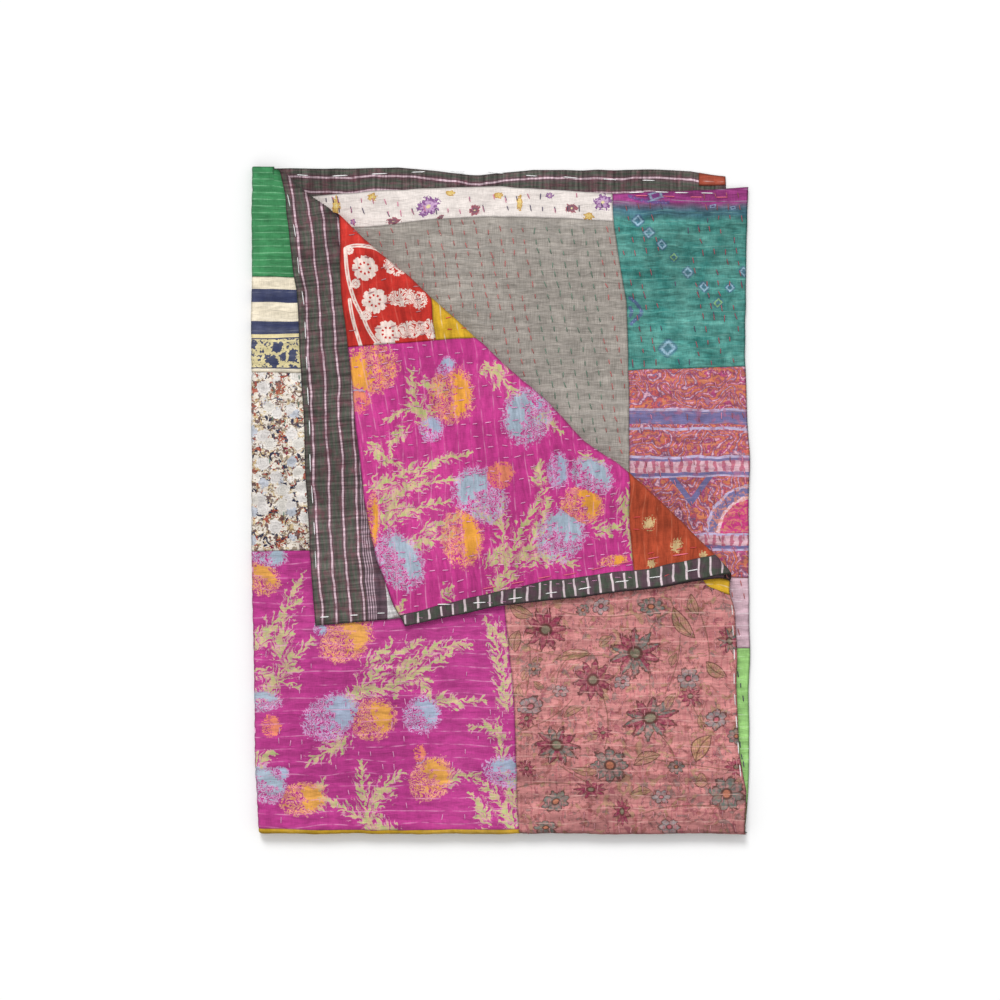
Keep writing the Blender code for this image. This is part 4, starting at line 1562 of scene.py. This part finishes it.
# %% The dark striped backing
STRIPE_PITCH = 18.0
STRIPED = ((0.0, "#d4b8c2"), (0.13, "#664850"), (0.30, "#605654"), (0.55, "#555a50"), (0.85, "#625a56"))


def dark_stripes(tree, place):
    """Pink stripes along the throw's end, then four pinstripes, then plum."""
    rim = add(tree, "Attribute", attribute_name="rim", out="Fac")
    noise = add(tree, "TexNoise", {"Vector": place, "Scale": 1 / 45.0, "Detail": 2.0})
    at = add(tree, "Math", noise, 7.0, rim, operation="MULTIPLY_ADD")
    at = add(tree, "Math", at, 3.5 + 11.0, operation="SUBTRACT")
    turn = add(tree, "Math", at, STRIPE_PITCH / 2, operation="PINGPONG")
    near = add(tree, "Math", turn, STRIPE_PITCH / 2, operation="DIVIDE")
    ground = shades(tree, near, STRIPED)
    late = add(tree, "Math", at, 58.0, operation="GREATER_THAN")
    fine = add(tree, "Math", at, 1.5, operation="PINGPONG")
    fine = add(tree, "MapRange", fine, 0.8, 0.5, 0.0, 0.8)
    done = add(tree, "Math", at, 71.0, operation="LESS_THAN")
    fine = add(tree, "Math", fine, done, operation="MULTIPLY")
    plum = add(tree, "Mix", {0: fine, 6: "#64505a", 7: "#d0b4c0"}, data_type="RGBA", out=2)
    white = off_by(tree, at, 94.0)
    white = add(tree, "Math", white, 10.0, operation="LESS_THAN")
    plum = add(tree, "Mix", {0: white, 6: plum, 7: "#e8e4e4"}, data_type="RGBA", out=2)
    colour = add(tree, "Mix", {0: late, 6: ground, 7: plum}, data_type="RGBA", out=2)
    streak = add(tree, "Mapping", place, {"Scale": (0.30, 0.012, 1)})
    streak = add(tree, "TexNoise", {"Vector": streak, "Scale": 1.0, "Detail": 4.0})
    streak = add(tree, "MapRange", streak, 0.35, 0.65, 0.55, 1.42)
    stain = add(tree, "TexNoise", {"Vector": place, "Scale": 0.055, "Detail": 4.0, "Roughness": 0.7})
    stain = add(tree, "MapRange", stain, 0.50, 0.64, 0.0, 0.6)
    colour = add(tree, "Mix", {0: stain, 6: colour, 7: "#744450"}, data_type="RGBA", out=2)
    return add(tree, "VectorMath", colour, streak, operation="MULTIPLY")


backing_cotton = cotton("dark striped cotton", dark_stripes, lines=0.0, crest_wear_and_highlight_amount=0.05, slub=0.25, furrow_shade=0.25)
wear_on(backing_cotton, "backing_end", "backing")


# %% The barred hem
def barred_hem(tree, place):
    """Pale bars across the dark band, a little ragged, that stop short of both its edges."""
    rim = add(tree, "Attribute", attribute_name="rim", out="Fac")
    seam = add(tree, "Attribute", attribute_name="seam", out="Fac")
    at = wavering(tree, place, ALONG_Q, 7.0, 30.0)
    bar = add(tree, "Math", at, 8.0, operation="PINGPONG")
    bar = add(tree, "MapRange", bar, 1.6, 1.1, 0.0, 0.9)
    ends = add(tree, "TexNoise", {"Vector": place, "Scale": 0.10, "Detail": 3.0})
    inner_end = add(tree, "Math", ends, -8.0, seam, operation="MULTIPLY_ADD")
    inner_end = add(tree, "Math", inner_end, -2.6, operation="GREATER_THAN")
    outer_end = add(tree, "Math", ends, 8.0, rim, operation="MULTIPLY_ADD")
    outer_end = add(tree, "Math", outer_end, 6.2, operation="GREATER_THAN")
    for mask in (inner_end, outer_end):
        bar = add(tree, "Math", bar, mask, operation="MULTIPLY")
    dark = add(tree, "TexNoise", {"Vector": place, "Scale": 0.06, "Detail": 4.0})
    dark = add(tree, "MapRange", dark, 0.42, 0.58, 0.0, 1.0)
    ground = add(tree, "Mix", {0: dark, 6: "#4c5248", 7: "#5c4650"}, data_type="RGBA", out=2)
    return add(tree, "Mix", {0: bar, 6: ground, 7: "#e4d0d6"}, data_type="RGBA", out=2)


wear_on(cotton("dark barred hem", barred_hem, lines=0.0, crest_wear_and_highlight_amount=0.05, slub=0.25, furrow_shade=0.15), "turned_hem")

# %% [markdown]
# ## The other patches
# Grey chambray has dark and pale yarn. The teal was tied and dyed, which left small squares. The border
# print has bands of paisley between wavy lines. The rest are plain dyed cottons, faded unevenly.

# %% Tied squares on the teal, sprigs on the rust
SQUARE, LIME_SQUARE, BUTI = 0, 1, 2
chart_blooms(
    "teal_dyed",
    (
        (637, 221, 5, 5, 40, SQUARE),
        (648, 233, 5, 5, 40, SQUARE),
        (661, 245, 4, 5, 45, SQUARE),
        (673, 257, 4, 4, 45, LIME_SQUARE),
        (687, 272, 5, 5, 45, SQUARE),
        (703, 287, 4, 5, 45, SQUARE),
        (729, 288, 4, 4, 40, SQUARE),
        (717, 303, 5, 4, 45, LIME_SQUARE),
        (712, 206, 4, 2, 10, SQUARE),
        (732, 208, 3, 2, 10, SQUARE),
        (743, 272, 4, 5, 45, SQUARE),
        (667, 348, 8, 7, 45, SQUARE),
        (655, 196, 8, 5, 20, SQUARE),
    ),
)
chart_stems(
    "teal_dyed",
    (
        (2, (629, 298), (637, 302), (641, 311)),
        (2, (641, 311), (637, 318), (630, 324)),
        (2, (629, 307), (633, 311), (629, 316)),
        (2, (628, 196), (645, 204), (668, 203)),
    ),
)
ARC, WINGS = 0, 1
chart_blooms("border_print", ((752, 531, 52, 52, 0, ARC), (690, 478, 24, 20, 270, WINGS)))
chart_blooms(
    "rust",
    (
        (641, 482, 5, 5, 0, BUTI),
        (647, 524, 5, 6, 0, BUTI),
        (674, 546, 5, 6, 0, BUTI),
        (690, 520, 4, 5, 0, BUTI),
        (662, 500, 4, 4, 0, BUTI),
        (700, 556, 4, 4, 0, BUTI),
        (650, 562, 4, 4, 0, BUTI),
    ),
    TURNED,
)


# %% Drawing the teal and the rust
def tied_and_dyed(tree, place):
    """Pale squares in a row on uneven teal, with a magenta end where the next dye bled in."""
    x, y, kind, far = in_bloom(tree)
    reach = add(
        tree, "Math", *(add(tree, "Math", a, operation="ABSOLUTE") for a in (x, y)), operation="MAXIMUM"
    )
    ring = off_by(tree, reach, 0.62)
    frayed = add(tree, "TexNoise", {"Vector": place, "Scale": 0.45, "Detail": 2.0})
    ring = add(tree, "Math", frayed, 0.5, ring, operation="MULTIPLY_ADD")
    ring = add(tree, "MapRange", ring, 0.50, 0.30, 0.0, 0.70)
    close = add(tree, "Math", far, 1.3, operation="LESS_THAN")
    ring = add(tree, "Math", ring, close, operation="MULTIPLY")
    shadow = add(tree, "MapRange", reach, 1.25, 0.95, 0.0, 0.42)
    shadow = add(tree, "Math", shadow, close, operation="MULTIPLY")
    tint = add(tree, "Mix", {0: kind, 6: "#accce0", 7: "#9fd07c"}, data_type="RGBA", out=2)
    dye = add(tree, "TexNoise", {"Vector": place, "Scale": 0.035, "Detail": 5.0, "Roughness": 0.65})
    dye = add(tree, "MapRange", dye, 0.35, 0.65, 0.0, 1.0)
    ground = add(tree, "Mix", {0: dye, 6: "#38807a", 7: "#66a69c"}, data_type="RGBA", out=2)
    at = wavering(tree, place, ALONG_Q, 14.0, 40.0)
    hem = add(tree, "MapRange", at, -803.0, -816.0, 0.0, 1.0)
    bled = off_by(tree, at, -802.0)
    bled = add(tree, "MapRange", bled, 12.0, 3.0, 0.0, 0.55)
    ground = add(tree, "Mix", {0: hem, 6: ground, 7: "#a8468c"}, data_type="RGBA", out=2)
    ground = add(tree, "Mix", {0: bled, 6: ground, 7: "#46567e"}, data_type="RGBA", out=2)
    ground = add(tree, "Mix", {0: shadow, 6: ground, 7: "#4a4a8c"}, data_type="RGBA", out=2)
    away = add(tree, "Attribute", attribute_name="sprig_far", out="Fac")
    away = add(tree, "Math", frayed, 6.0, away, operation="MULTIPLY_ADD")
    for reach, code in ((5.6, "#5c5a98"), (3.6, "#a4a8d0")):
        curl = add(tree, "MapRange", away, reach, reach - 0.8, 0.0, 0.7)
        ground = add(tree, "Mix", {0: curl, 6: ground, 7: code}, data_type="RGBA", out=2)
    return add(tree, "Mix", {0: ring, 6: ground, 7: tint}, data_type="RGBA", out=2)


def with_butis(tree, place):
    """Small ragged sprigs on rust."""
    far = add(tree, "Attribute", attribute_name="bloom_far", out="Fac")
    ragged = add(tree, "TexNoise", {"Vector": place, "Scale": 0.5, "Detail": 3.0})
    past = add(tree, "Math", far, add(tree, "MapRange", ragged, 0.3, 0.7, -0.6, 0.6), operation="ADD")
    mark = add(tree, "MapRange", past, 1.0, 0.8, 0.0, 0.85)
    return add(tree, "Mix", {0: mark, 6: "#ae4a30", 7: "#d8c08c"}, data_type="RGBA", out=2)


# %% Drawing the border print
def paisley_border(tree, place):
    """Bands of swirling paisley between thin wavy lines, with one big arc."""
    at = wavering(tree, place, ALONG_Q, 10.0, 45.0)
    at = add(tree, "MapRange", at, -604.0, -326.0, 0.0, 1.0)
    bend = add(tree, "TexNoise", {"Vector": place, "Scale": 0.022, "Detail": 2.0}, out="Color")
    bend = add(tree, "VectorMath", bend, {3: 60.0}, operation="SCALE")
    bent = add(tree, "VectorMath", place, bend, operation="ADD")
    swirl = add(tree, "TexNoise", {"Vector": bent, "Scale": 0.026, "Detail": 0.0})
    rings = add(tree, "Math", swirl, 0.085, operation="PINGPONG")
    frayed = add(tree, "TexNoise", {"Vector": place, "Scale": 0.22, "Detail": 3.0})
    rings = add(tree, "Math", frayed, 0.06, rings, operation="MULTIPLY_ADD")
    steps = add(tree, "MapRange", rings, 0.030, 0.115, 0.0, 1.0)
    curls = shades(tree, steps, (
        (0.0, "#deb0c0"),
        (0.10, "#8c6c90"),
        (0.21, "#c8605c"),
        (0.42, "#d4805c"),
        (0.78, "#b8507c"),
        (0.93, "#e0a8b8"),
    ))
    speck = add(tree, "TexNoise", {"Vector": place, "Scale": 0.20, "Detail": 4.0, "Distortion": 1.0})
    speck = add(tree, "MapRange", speck, 0.47, 0.58, 0.0, 0.75)
    swirls = add(tree, "Mix", {0: speck, 6: curls, 7: "#8c4a6c"}, data_type="RGBA", out=2)
    lilac, violet, pink = "#beb2d2", "#756f9c", "#dcb4c0"
    open_rows = "#000000"
    rows = (
        (0.0, open_rows),
        (0.20, lilac),
        (0.214, violet),
        (0.272, open_rows),
        (0.286, lilac),
        (0.298, open_rows),
        (0.42, lilac),
        (0.432, violet),
        (0.445, pink),
        (0.495, violet),
        (0.508, lilac),
        (0.518, open_rows),
        (0.780, lilac),
        (0.792, pink),
        (0.835, violet),
        (0.850, lilac),
        (0.862, open_rows),
    )
    bands = shades(tree, at, rows)
    banded = add(tree, "Math", add(tree, "SeparateColor", bands, out=0), 0.02, operation="GREATER_THAN")
    blocks = add(tree, "Math", wavering(tree, place, ALONG_P, 9.0, 9.0), 5.6, operation="PINGPONG")
    blocks = add(tree, "MapRange", blocks, 1.8, 2.6, 0.8, 0.0)
    row = add(tree, "Math", at, 0.470, operation="SUBTRACT")
    row = add(tree, "Math", row, 0.1717, operation="PINGPONG")
    row = add(tree, "Math", row, 0.025, operation="LESS_THAN")
    blocks = add(tree, "Math", blocks, row, operation="MULTIPLY")
    inlaid = add(tree, "Mix", {0: blocks, 6: bands, 7: "#b8506c"}, data_type="RGBA", out=2)
    worn = add(tree, "TexNoise", {"Vector": place, "Scale": 0.11, "Detail": 3.0})
    worn = add(tree, "MapRange", worn, 0.50, 0.62, 0.0, 0.60)
    inlaid = add(tree, "Mix", {0: worn, 6: inlaid, 7: "#a8607c"}, data_type="RGBA", out=2)
    colour = add(tree, "Mix", {0: banded, 6: swirls, 7: inlaid}, data_type="RGBA", out=2)
    down, side, kind, far = in_bloom(tree)
    ripple = add(tree, "TexNoise", {"Vector": place, "Scale": 0.10, "Detail": 2.0})
    far = add(tree, "Math", ripple, 0.12, far, operation="MULTIPLY_ADD")
    arc = shades(tree, far, ((0.0, "#c83c80"), (0.70, "#e6c4d0"), (0.76, violet), (0.92, lilac)))
    side = add(tree, "Math", side, operation="ABSOLUTE")
    wing = add(tree, "Math", side, 1.1, down, operation="MULTIPLY_ADD")
    wing = off_by(tree, wing, 0.95)
    wing = add(tree, "Math", wing, 0.19, operation="LESS_THAN")
    wing = add(tree, "Math", wing, kind, operation="MULTIPLY")
    below = add(tree, "Math", at, 0.51, operation="GREATER_THAN")
    wing = add(tree, "Math", wing, below, operation="MULTIPLY")
    clear = add(tree, "Math", 1.0, banded, operation="SUBTRACT")
    wing = add(tree, "Math", wing, clear, operation="MULTIPLY")
    colour = add(tree, "Mix", {0: wing, 6: colour, 7: violet}, data_type="RGBA", out=2)
    whole = add(tree, "Math", far, 0.98, operation="LESS_THAN")
    above = add(tree, "Math", at, 0.78, operation="LESS_THAN")
    only = add(tree, "Math", kind, 0.5, operation="LESS_THAN")
    for mask in (clear, above, only):
        whole = add(tree, "Math", whole, mask, operation="MULTIPLY")
    mottled = add(tree, "Mix", {0: speck, 6: arc, 7: "#d88a70"}, data_type="RGBA", out=2)
    return add(tree, "Mix", {0: whole, 6: colour, 7: mottled}, data_type="RGBA", out=2)


# %% Drawing the chambray, and dressing the other patches
def two_yarns(tree, place):
    """Dark yarn one way and pale yarn the other."""
    weft = add(tree, "Mapping", place, {"Scale": (0.05, 1.1, 1)})
    weft = add(tree, "TexNoise", {"Vector": weft, "Scale": 1.0, "Detail": 3.0})
    warp = add(tree, "Mapping", place, {"Scale": (1.1, 0.05, 1)})
    warp = add(tree, "TexNoise", {"Vector": warp, "Scale": 1.0, "Detail": 3.0})
    mix = add(tree, "Math", weft, warp, operation="ADD")
    mix = add(tree, "MapRange", mix, 0.75, 1.25, 0.0, 1.0)
    return add(tree, "Mix", {0: mix, 6: "#8c867e", 7: "#b2aaa2"}, data_type="RGBA", out=2)


wear_on(
    cotton("tied and dyed teal", tied_and_dyed, pale="#9cd0c4", furrow_shade=0.34, crinkle_shading=0.24, slub=0.28),
    "teal_dyed",
)
wear_on(cotton("rust cotton with sprigs", with_butis, cloud=0.24, crinkle_shading=0.22, pale="#e09070"), "rust")
wear_on(cotton("paisley border print", paisley_border, pale="#e8b8a8"), "border_print")
wear_on(cotton("grey chambray", two_yarns, lines=0.06, furrow_shade=0.12), "grey_chambray")
for title, code, names in (
    ("yellow cotton", "#dcae30", ("yellow", "yellow_fold", "yellow_peek", "second_hidden")),
    ("lilac cotton", "#d6b4c0", ("lilac", "under_high")),
    ("lime cotton", "#a6da84", ("lime", "first_hidden")),
    ("brick cotton", "#a8503c", ("third_hidden", "inner_fold", "orange_scrap")),
    ("olive cotton", "#8c8450", ("under_low", "under_left", "second_hidden_left")),
):
    wear_on(cotton(title, dyed(code), cloud=0.2), *names)

# %% [markdown]
# ## Running stitch
# The quilt is held together by rows of running stitch in thick cotton, about 7 mm of thread showing at a
# time. They were sewn by hand, so they wander, slant and sometimes miss. Each is a short closed rod of four
# rings, set in the hollow between two ridges, and all the stitches of one colour are one mesh made from
# arrays.

# %% Where stitches come up on a patch
STITCH_LENGTH = 0.0074
STITCH_WIDTH = 0.0017
PROUD = 0.00040
SLANT = 0.12
RING_RADII = ((-1.0, 0.3), (-0.7, 1.0), (0.7, 1.0), (1.0, 0.3))
SPARE_ROWS, SPARE_STITCHES, SPARE_BELOW = 14, 2, 1.25
SETTLE_ROUNDS, SETTLE = 14, 0.8
STRAY = 0.0012
SEAM_MARGIN = 0.0045
IN_SIGHT = 0.25
dice = np.random.default_rng(20)


def stitch_spots(name, keep, low=0.0, high=1.0, half=0.0):
    """Rows of (p, q, half the stitch in p, in q, extra height, back) for the shown part of a patch."""
    made = pieces[name]
    west, east, south, north = made["edges"]
    first, last = made["p"].min() / ROW_SPACING - SPARE_ROWS, made["p"].max() / ROW_SPACING + SPARE_ROWS
    lowest = SPARE_BELOW * made["q"].min() / STITCH_PITCH - SPARE_STITCHES
    highest = made["q"].max() / STITCH_PITCH + SPARE_STITCHES
    i, j = np.meshgrid(np.arange(round(first), round(last)), np.arange(round(lowest), round(highest)) + half)
    i, j = i.ravel(), j.ravel()
    p, q = ROW_SPACING * i, STITCH_PITCH * j
    for _ in range(SETTLE_ROUNDS):
        row, stitch = stitch_phase(p, q)
        p, q = p + SETTLE * ROW_SPACING * (i - row), q + SETTLE * STITCH_PITCH * (j - stitch)
    q = q + dice.normal(0, STRAY, len(q))
    held = (p > read(west, q) + SEAM_MARGIN) & (p < read(east, q) - SEAM_MARGIN)
    held &= (q > read(south, p) + SEAM_MARGIN) & (q < read(north, p) - SEAM_MARGIN)
    side = made["layer"][0] if name != "backing_end" else np.where(p > 0, 1, -1)
    across = side * p + across_start(made["layer"])
    held &= (across > low) & (across < high) & (dice.random(len(p)) < keep)
    held &= free_to_puff(p, q, made["back"]) > IN_SIGHT
    p, q = p[held], q[held]
    long = STITCH_LENGTH / 2 * dice.uniform(0.75, 1.25, len(p))
    slant = dice.normal(0, SLANT, len(p)) - np.where((p < 0) & (q < 0), THIRD_LEAN, 0)
    zero = np.zeros_like(p)
    return np.stack([p, q, long * slant, long, zero, zero + made["back"]], axis=1)


# %% Where the longer hem stitches come up
HEM_STITCH_STRAY = 0.0015


def hem_spots(layer, line, dash, pitch, turned=False, back=False, extra=0.0):
    """Longer stitches along a line of the picture's pixels: dash and pitch in metres."""
    corners = np.array([seen_at(layer, x, y, turned) for x, y in line])
    run = np.concatenate([[0], np.cumsum(np.linalg.norm(np.diff(corners, axis=0), axis=1))])
    at = np.arange(dash, run[-1] - dash, pitch)
    at = at + dice.normal(0, HEM_STITCH_STRAY, len(at))
    long = dash / 2 * dice.uniform(0.8, 1.15, len(at))
    ends = []
    for way in (-1, 1):
        ends.append(np.stack([np.interp(at + way * long, run, corners[:, k]) for k in (0, 1)], axis=1))
    middle, half = (ends[0] + ends[1]) / 2, (ends[1] - ends[0]) / 2
    tail = np.tile([extra, float(back)], (len(at), 1))
    return np.concatenate([middle, half, tail], axis=1)


# %% Stitches of one colour
def sew(name, code, *groups):
    """One mesh of stitches from rows of stitch_spots and hem_spots."""
    spots = np.concatenate(groups)
    p, q, dp, dq, extra, back = spots.T
    across_p, across_q = -dq / np.hypot(dp, dq), dp / np.hypot(dp, dq)
    hand = np.where(back > 0, -1, 1)
    rings = []
    for t, share in RING_RADII:
        for angle in (QUARTER, QUARTER + math.tau / 3, QUARTER + 2 * math.tau / 3):
            wide = share * STITCH_WIDTH / 2 * math.cos(angle) * hand
            at_p, at_q = p + t * dp + wide * across_p, q + t * dq + wide * across_q
            front, behind = relief(at_p, at_q), relief(at_p, at_q, True)
            high = share * STITCH_WIDTH / 2 * math.sin(angle)
            lift = HALF + np.where(back > 0, behind, front) + extra + PROUD + high
            rings.append(folded(at_p, at_q, lift * hand))
    points = np.stack(rings, axis=1).reshape(-1, 3)
    sides = [(3 * k, c, (c + 1) % 3) for k in range(3) for c in range(3)]
    quads = [(ring + c, ring + d, ring + 3 + d, ring + 3 + c) for ring, c, d in sides]
    faces = []
    for start in range(0, len(points), 12):
        faces.extend(tuple(start + n for n in quad) for quad in quads)
        faces.extend([(start, start + 2, start + 1), (start + 9, start + 10, start + 11)])
    mesh = bpy.data.meshes.new(name)
    mesh.from_pydata(points.tolist(), [], faces)
    mesh.shade_smooth()
    stitches = bpy.data.objects.new(name, mesh)
    bpy.context.scene.collection.objects.link(stitches)
    material = bpy.data.materials.new(name)
    material.use_nodes = True
    tree = material.node_tree
    shader = tree.nodes["Principled BSDF"]
    spot = add(tree, "TexCoord", out="Object")
    twist = add(tree, "TexNoise", {"Vector": spot, "Scale": 900.0, "Detail": 2.0})
    tone = add(tree, "MapRange", twist, 0.3, 0.7, 0.72, 1.25)
    faded = add(tree, "TexNoise", {"Vector": spot, "Scale": 40.0, "Detail": 2.0})
    tone = add(tree, "Math", tone, add(tree, "MapRange", faded, 0.35, 0.65, 0.80, 1.2), operation="MULTIPLY")
    colour = add(tree, "Mix", {0: 0.0, 6: code, 7: code}, data_type="RGBA", out=2)
    colour = add(tree, "VectorMath", colour, tone, operation="MULTIPLY")
    bump = add(tree, "Bump", {"Strength": 0.6, "Distance": 0.0003, "Height": twist})
    tree.links.new(colour, shader.inputs["Base Color"])
    tree.links.new(bump, shader.inputs["Normal"])
    shader.inputs["Roughness"].default_value = 0.8
    mesh.materials.append(material)
    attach(stitches, "root")
    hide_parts(NODE)
    print(name, len(spots), "stitches")


# %% The threads
sew(
    "red_thread",
    "#c47472",
    stitch_spots("grey_chambray", 0.93, high=0.368),
    stitch_spots("grey_chambray", 0.93, low=0.455),
    stitch_spots("lilac", 0.6),
)
sew(
    "wine_thread",
    "#a8606a",
    stitch_spots("teal_dyed", 0.80, low=0.470, high=0.530),
    stitch_spots("teal_dyed", 0.75, low=0.575),
    stitch_spots("border_print", 0.25),
)
sew(
    "dark_red_thread",
    "#d84c4c",
    stitch_spots("backing_end", 0.70, half=0.5),
    stitch_spots("yellow", 0.5),
    stitch_spots("rust", 0.3),
)
sew(
    "green_thread",
    "#74907e",
    stitch_spots("grey_chambray", 0.93, low=0.368, high=0.455),
    stitch_spots("backing_end", 0.35, half=0.5),
    stitch_spots("green", 0.25),
    stitch_spots("small_floral", 0.12),
)
sew("pink_thread", "#e08ca8", stitch_spots("white_strip", 0.45), stitch_spots("border_print", 0.4))
sew(
    "slate_thread",
    "#605870",
    stitch_spots("white_strip", 0.45),
    stitch_spots("teal_dyed", 0.12),
    stitch_spots("lime", 0.5),
)
sew("rose_thread", "#e8a0cc", stitch_spots("magenta_floral", 0.22), stitch_spots("magenta_corner", 0.7))
sew("dusty_thread", "#c88a90", stitch_spots("salmon_floral", 0.75), stitch_spots("red_print", 0.5))
sew(
    "cream_hem_thread",
    "#ffffff",
    hem_spots(
        SECOND,
        ((432, 604), (487, 601), (540, 594), (640, 577), (722, 566)),
        0.017,
        0.046,
        TURNED,
        extra=HEM_PROUD,
    ),
    hem_spots(FIRST, ((730, 596), (733, 660), (737, 751), (742, 800)), 0.015, 0.030),
    hem_spots(
        FIRST,
        ((287, 184), (297, 243), (304, 300), (307, 360), (310, 430), (313, 500), (318, 606)),
        0.021,
        0.043,
        TURNED,
        back=True,
    ),
    hem_spots(FIRST, ((318, 617), (396, 611)), 0.010, 0.036, TURNED, back=True),
    hem_spots(
        FOURTH,
        ((290, 174), (330, 176), (390, 173), (460, 171), (560, 177), (690, 183)),
        0.018,
        0.050,
        back=True,
    ),
    hem_spots(THIRD, ((622, 193), (680, 192), (742, 193)), 0.018, 0.030),
)
sew(
    "coral_hem_thread",
    "#f07890",
    hem_spots(
        SECOND,
        ((474, 589), (503, 584), (540, 578), (600, 567), (654, 556), (716, 551)),
        0.018,
        0.036,
        TURNED,
    ),
    hem_spots(THIRD, ((630, 196), (742, 197)), 0.016, 0.034),
)

# %% [markdown]
# ## Camera and light
# The picture was taken straight down under soft light, on white. A long lens far above keeps the throw
# square. A wide, low-contrast sun from the upper left gives the ridges their small shadows.

# %% The camera
CAMERA_HEIGHT = 3.62
LENS = 100
SENSOR = 36
FLOOR_HALF = 12.0
SKY_STRENGTH = 0.66
SUN_STRENGTH = 1.8
SUN_WIDTH = 22
SUN_TILT = (-48, -14)

middle_x = low_corner.x + (PICTURE_MIDDLE - LEFT_PIXEL) * PIXEL
middle_y = low_corner.y + (BOTTOM_PIXEL - PICTURE_MIDDLE) * PIXEL
camera = bpy.data.objects.new("camera", bpy.data.cameras.new("camera"))
camera.data.lens = LENS
camera.data.sensor_width = SENSOR
camera.location = (middle_x, middle_y, CAMERA_HEIGHT)
bpy.context.scene.collection.objects.link(camera)
bpy.context.scene.camera = camera
bpy.context.scene.view_settings.view_transform = "Standard"

# %% The floor
floor_mesh = bpy.data.meshes.new("floor")
grid = bmesh.new()
bmesh.ops.create_grid(grid, x_segments=1, y_segments=1, size=FLOOR_HALF)
grid.to_mesh(floor_mesh)
grid.free()
floor = bpy.data.objects.new("floor", floor_mesh)
bpy.context.scene.collection.objects.link(floor)
white = bpy.data.materials.new("white card")
white.use_nodes = True
white.node_tree.nodes["Principled BSDF"].inputs["Base Color"].default_value = linear("#ffffff")
floor_mesh.materials.append(white)

# %% The soft light and the high window
world = bpy.data.worlds.new("soft light")
world.use_nodes = True
world.node_tree.nodes["Background"].inputs["Color"].default_value = (1, 1, 1, 1)
world.node_tree.nodes["Background"].inputs["Strength"].default_value = SKY_STRENGTH
bpy.context.scene.world = world
sun = bpy.data.objects.new("high window", bpy.data.lights.new("high window", "SUN"))
sun.data.energy = SUN_STRENGTH
sun.data.angle = math.radians(SUN_WIDTH)
sun.rotation_euler = (math.radians(SUN_TILT[0]), math.radians(SUN_TILT[1]), 0)
bpy.context.scene.collection.objects.link(sun)
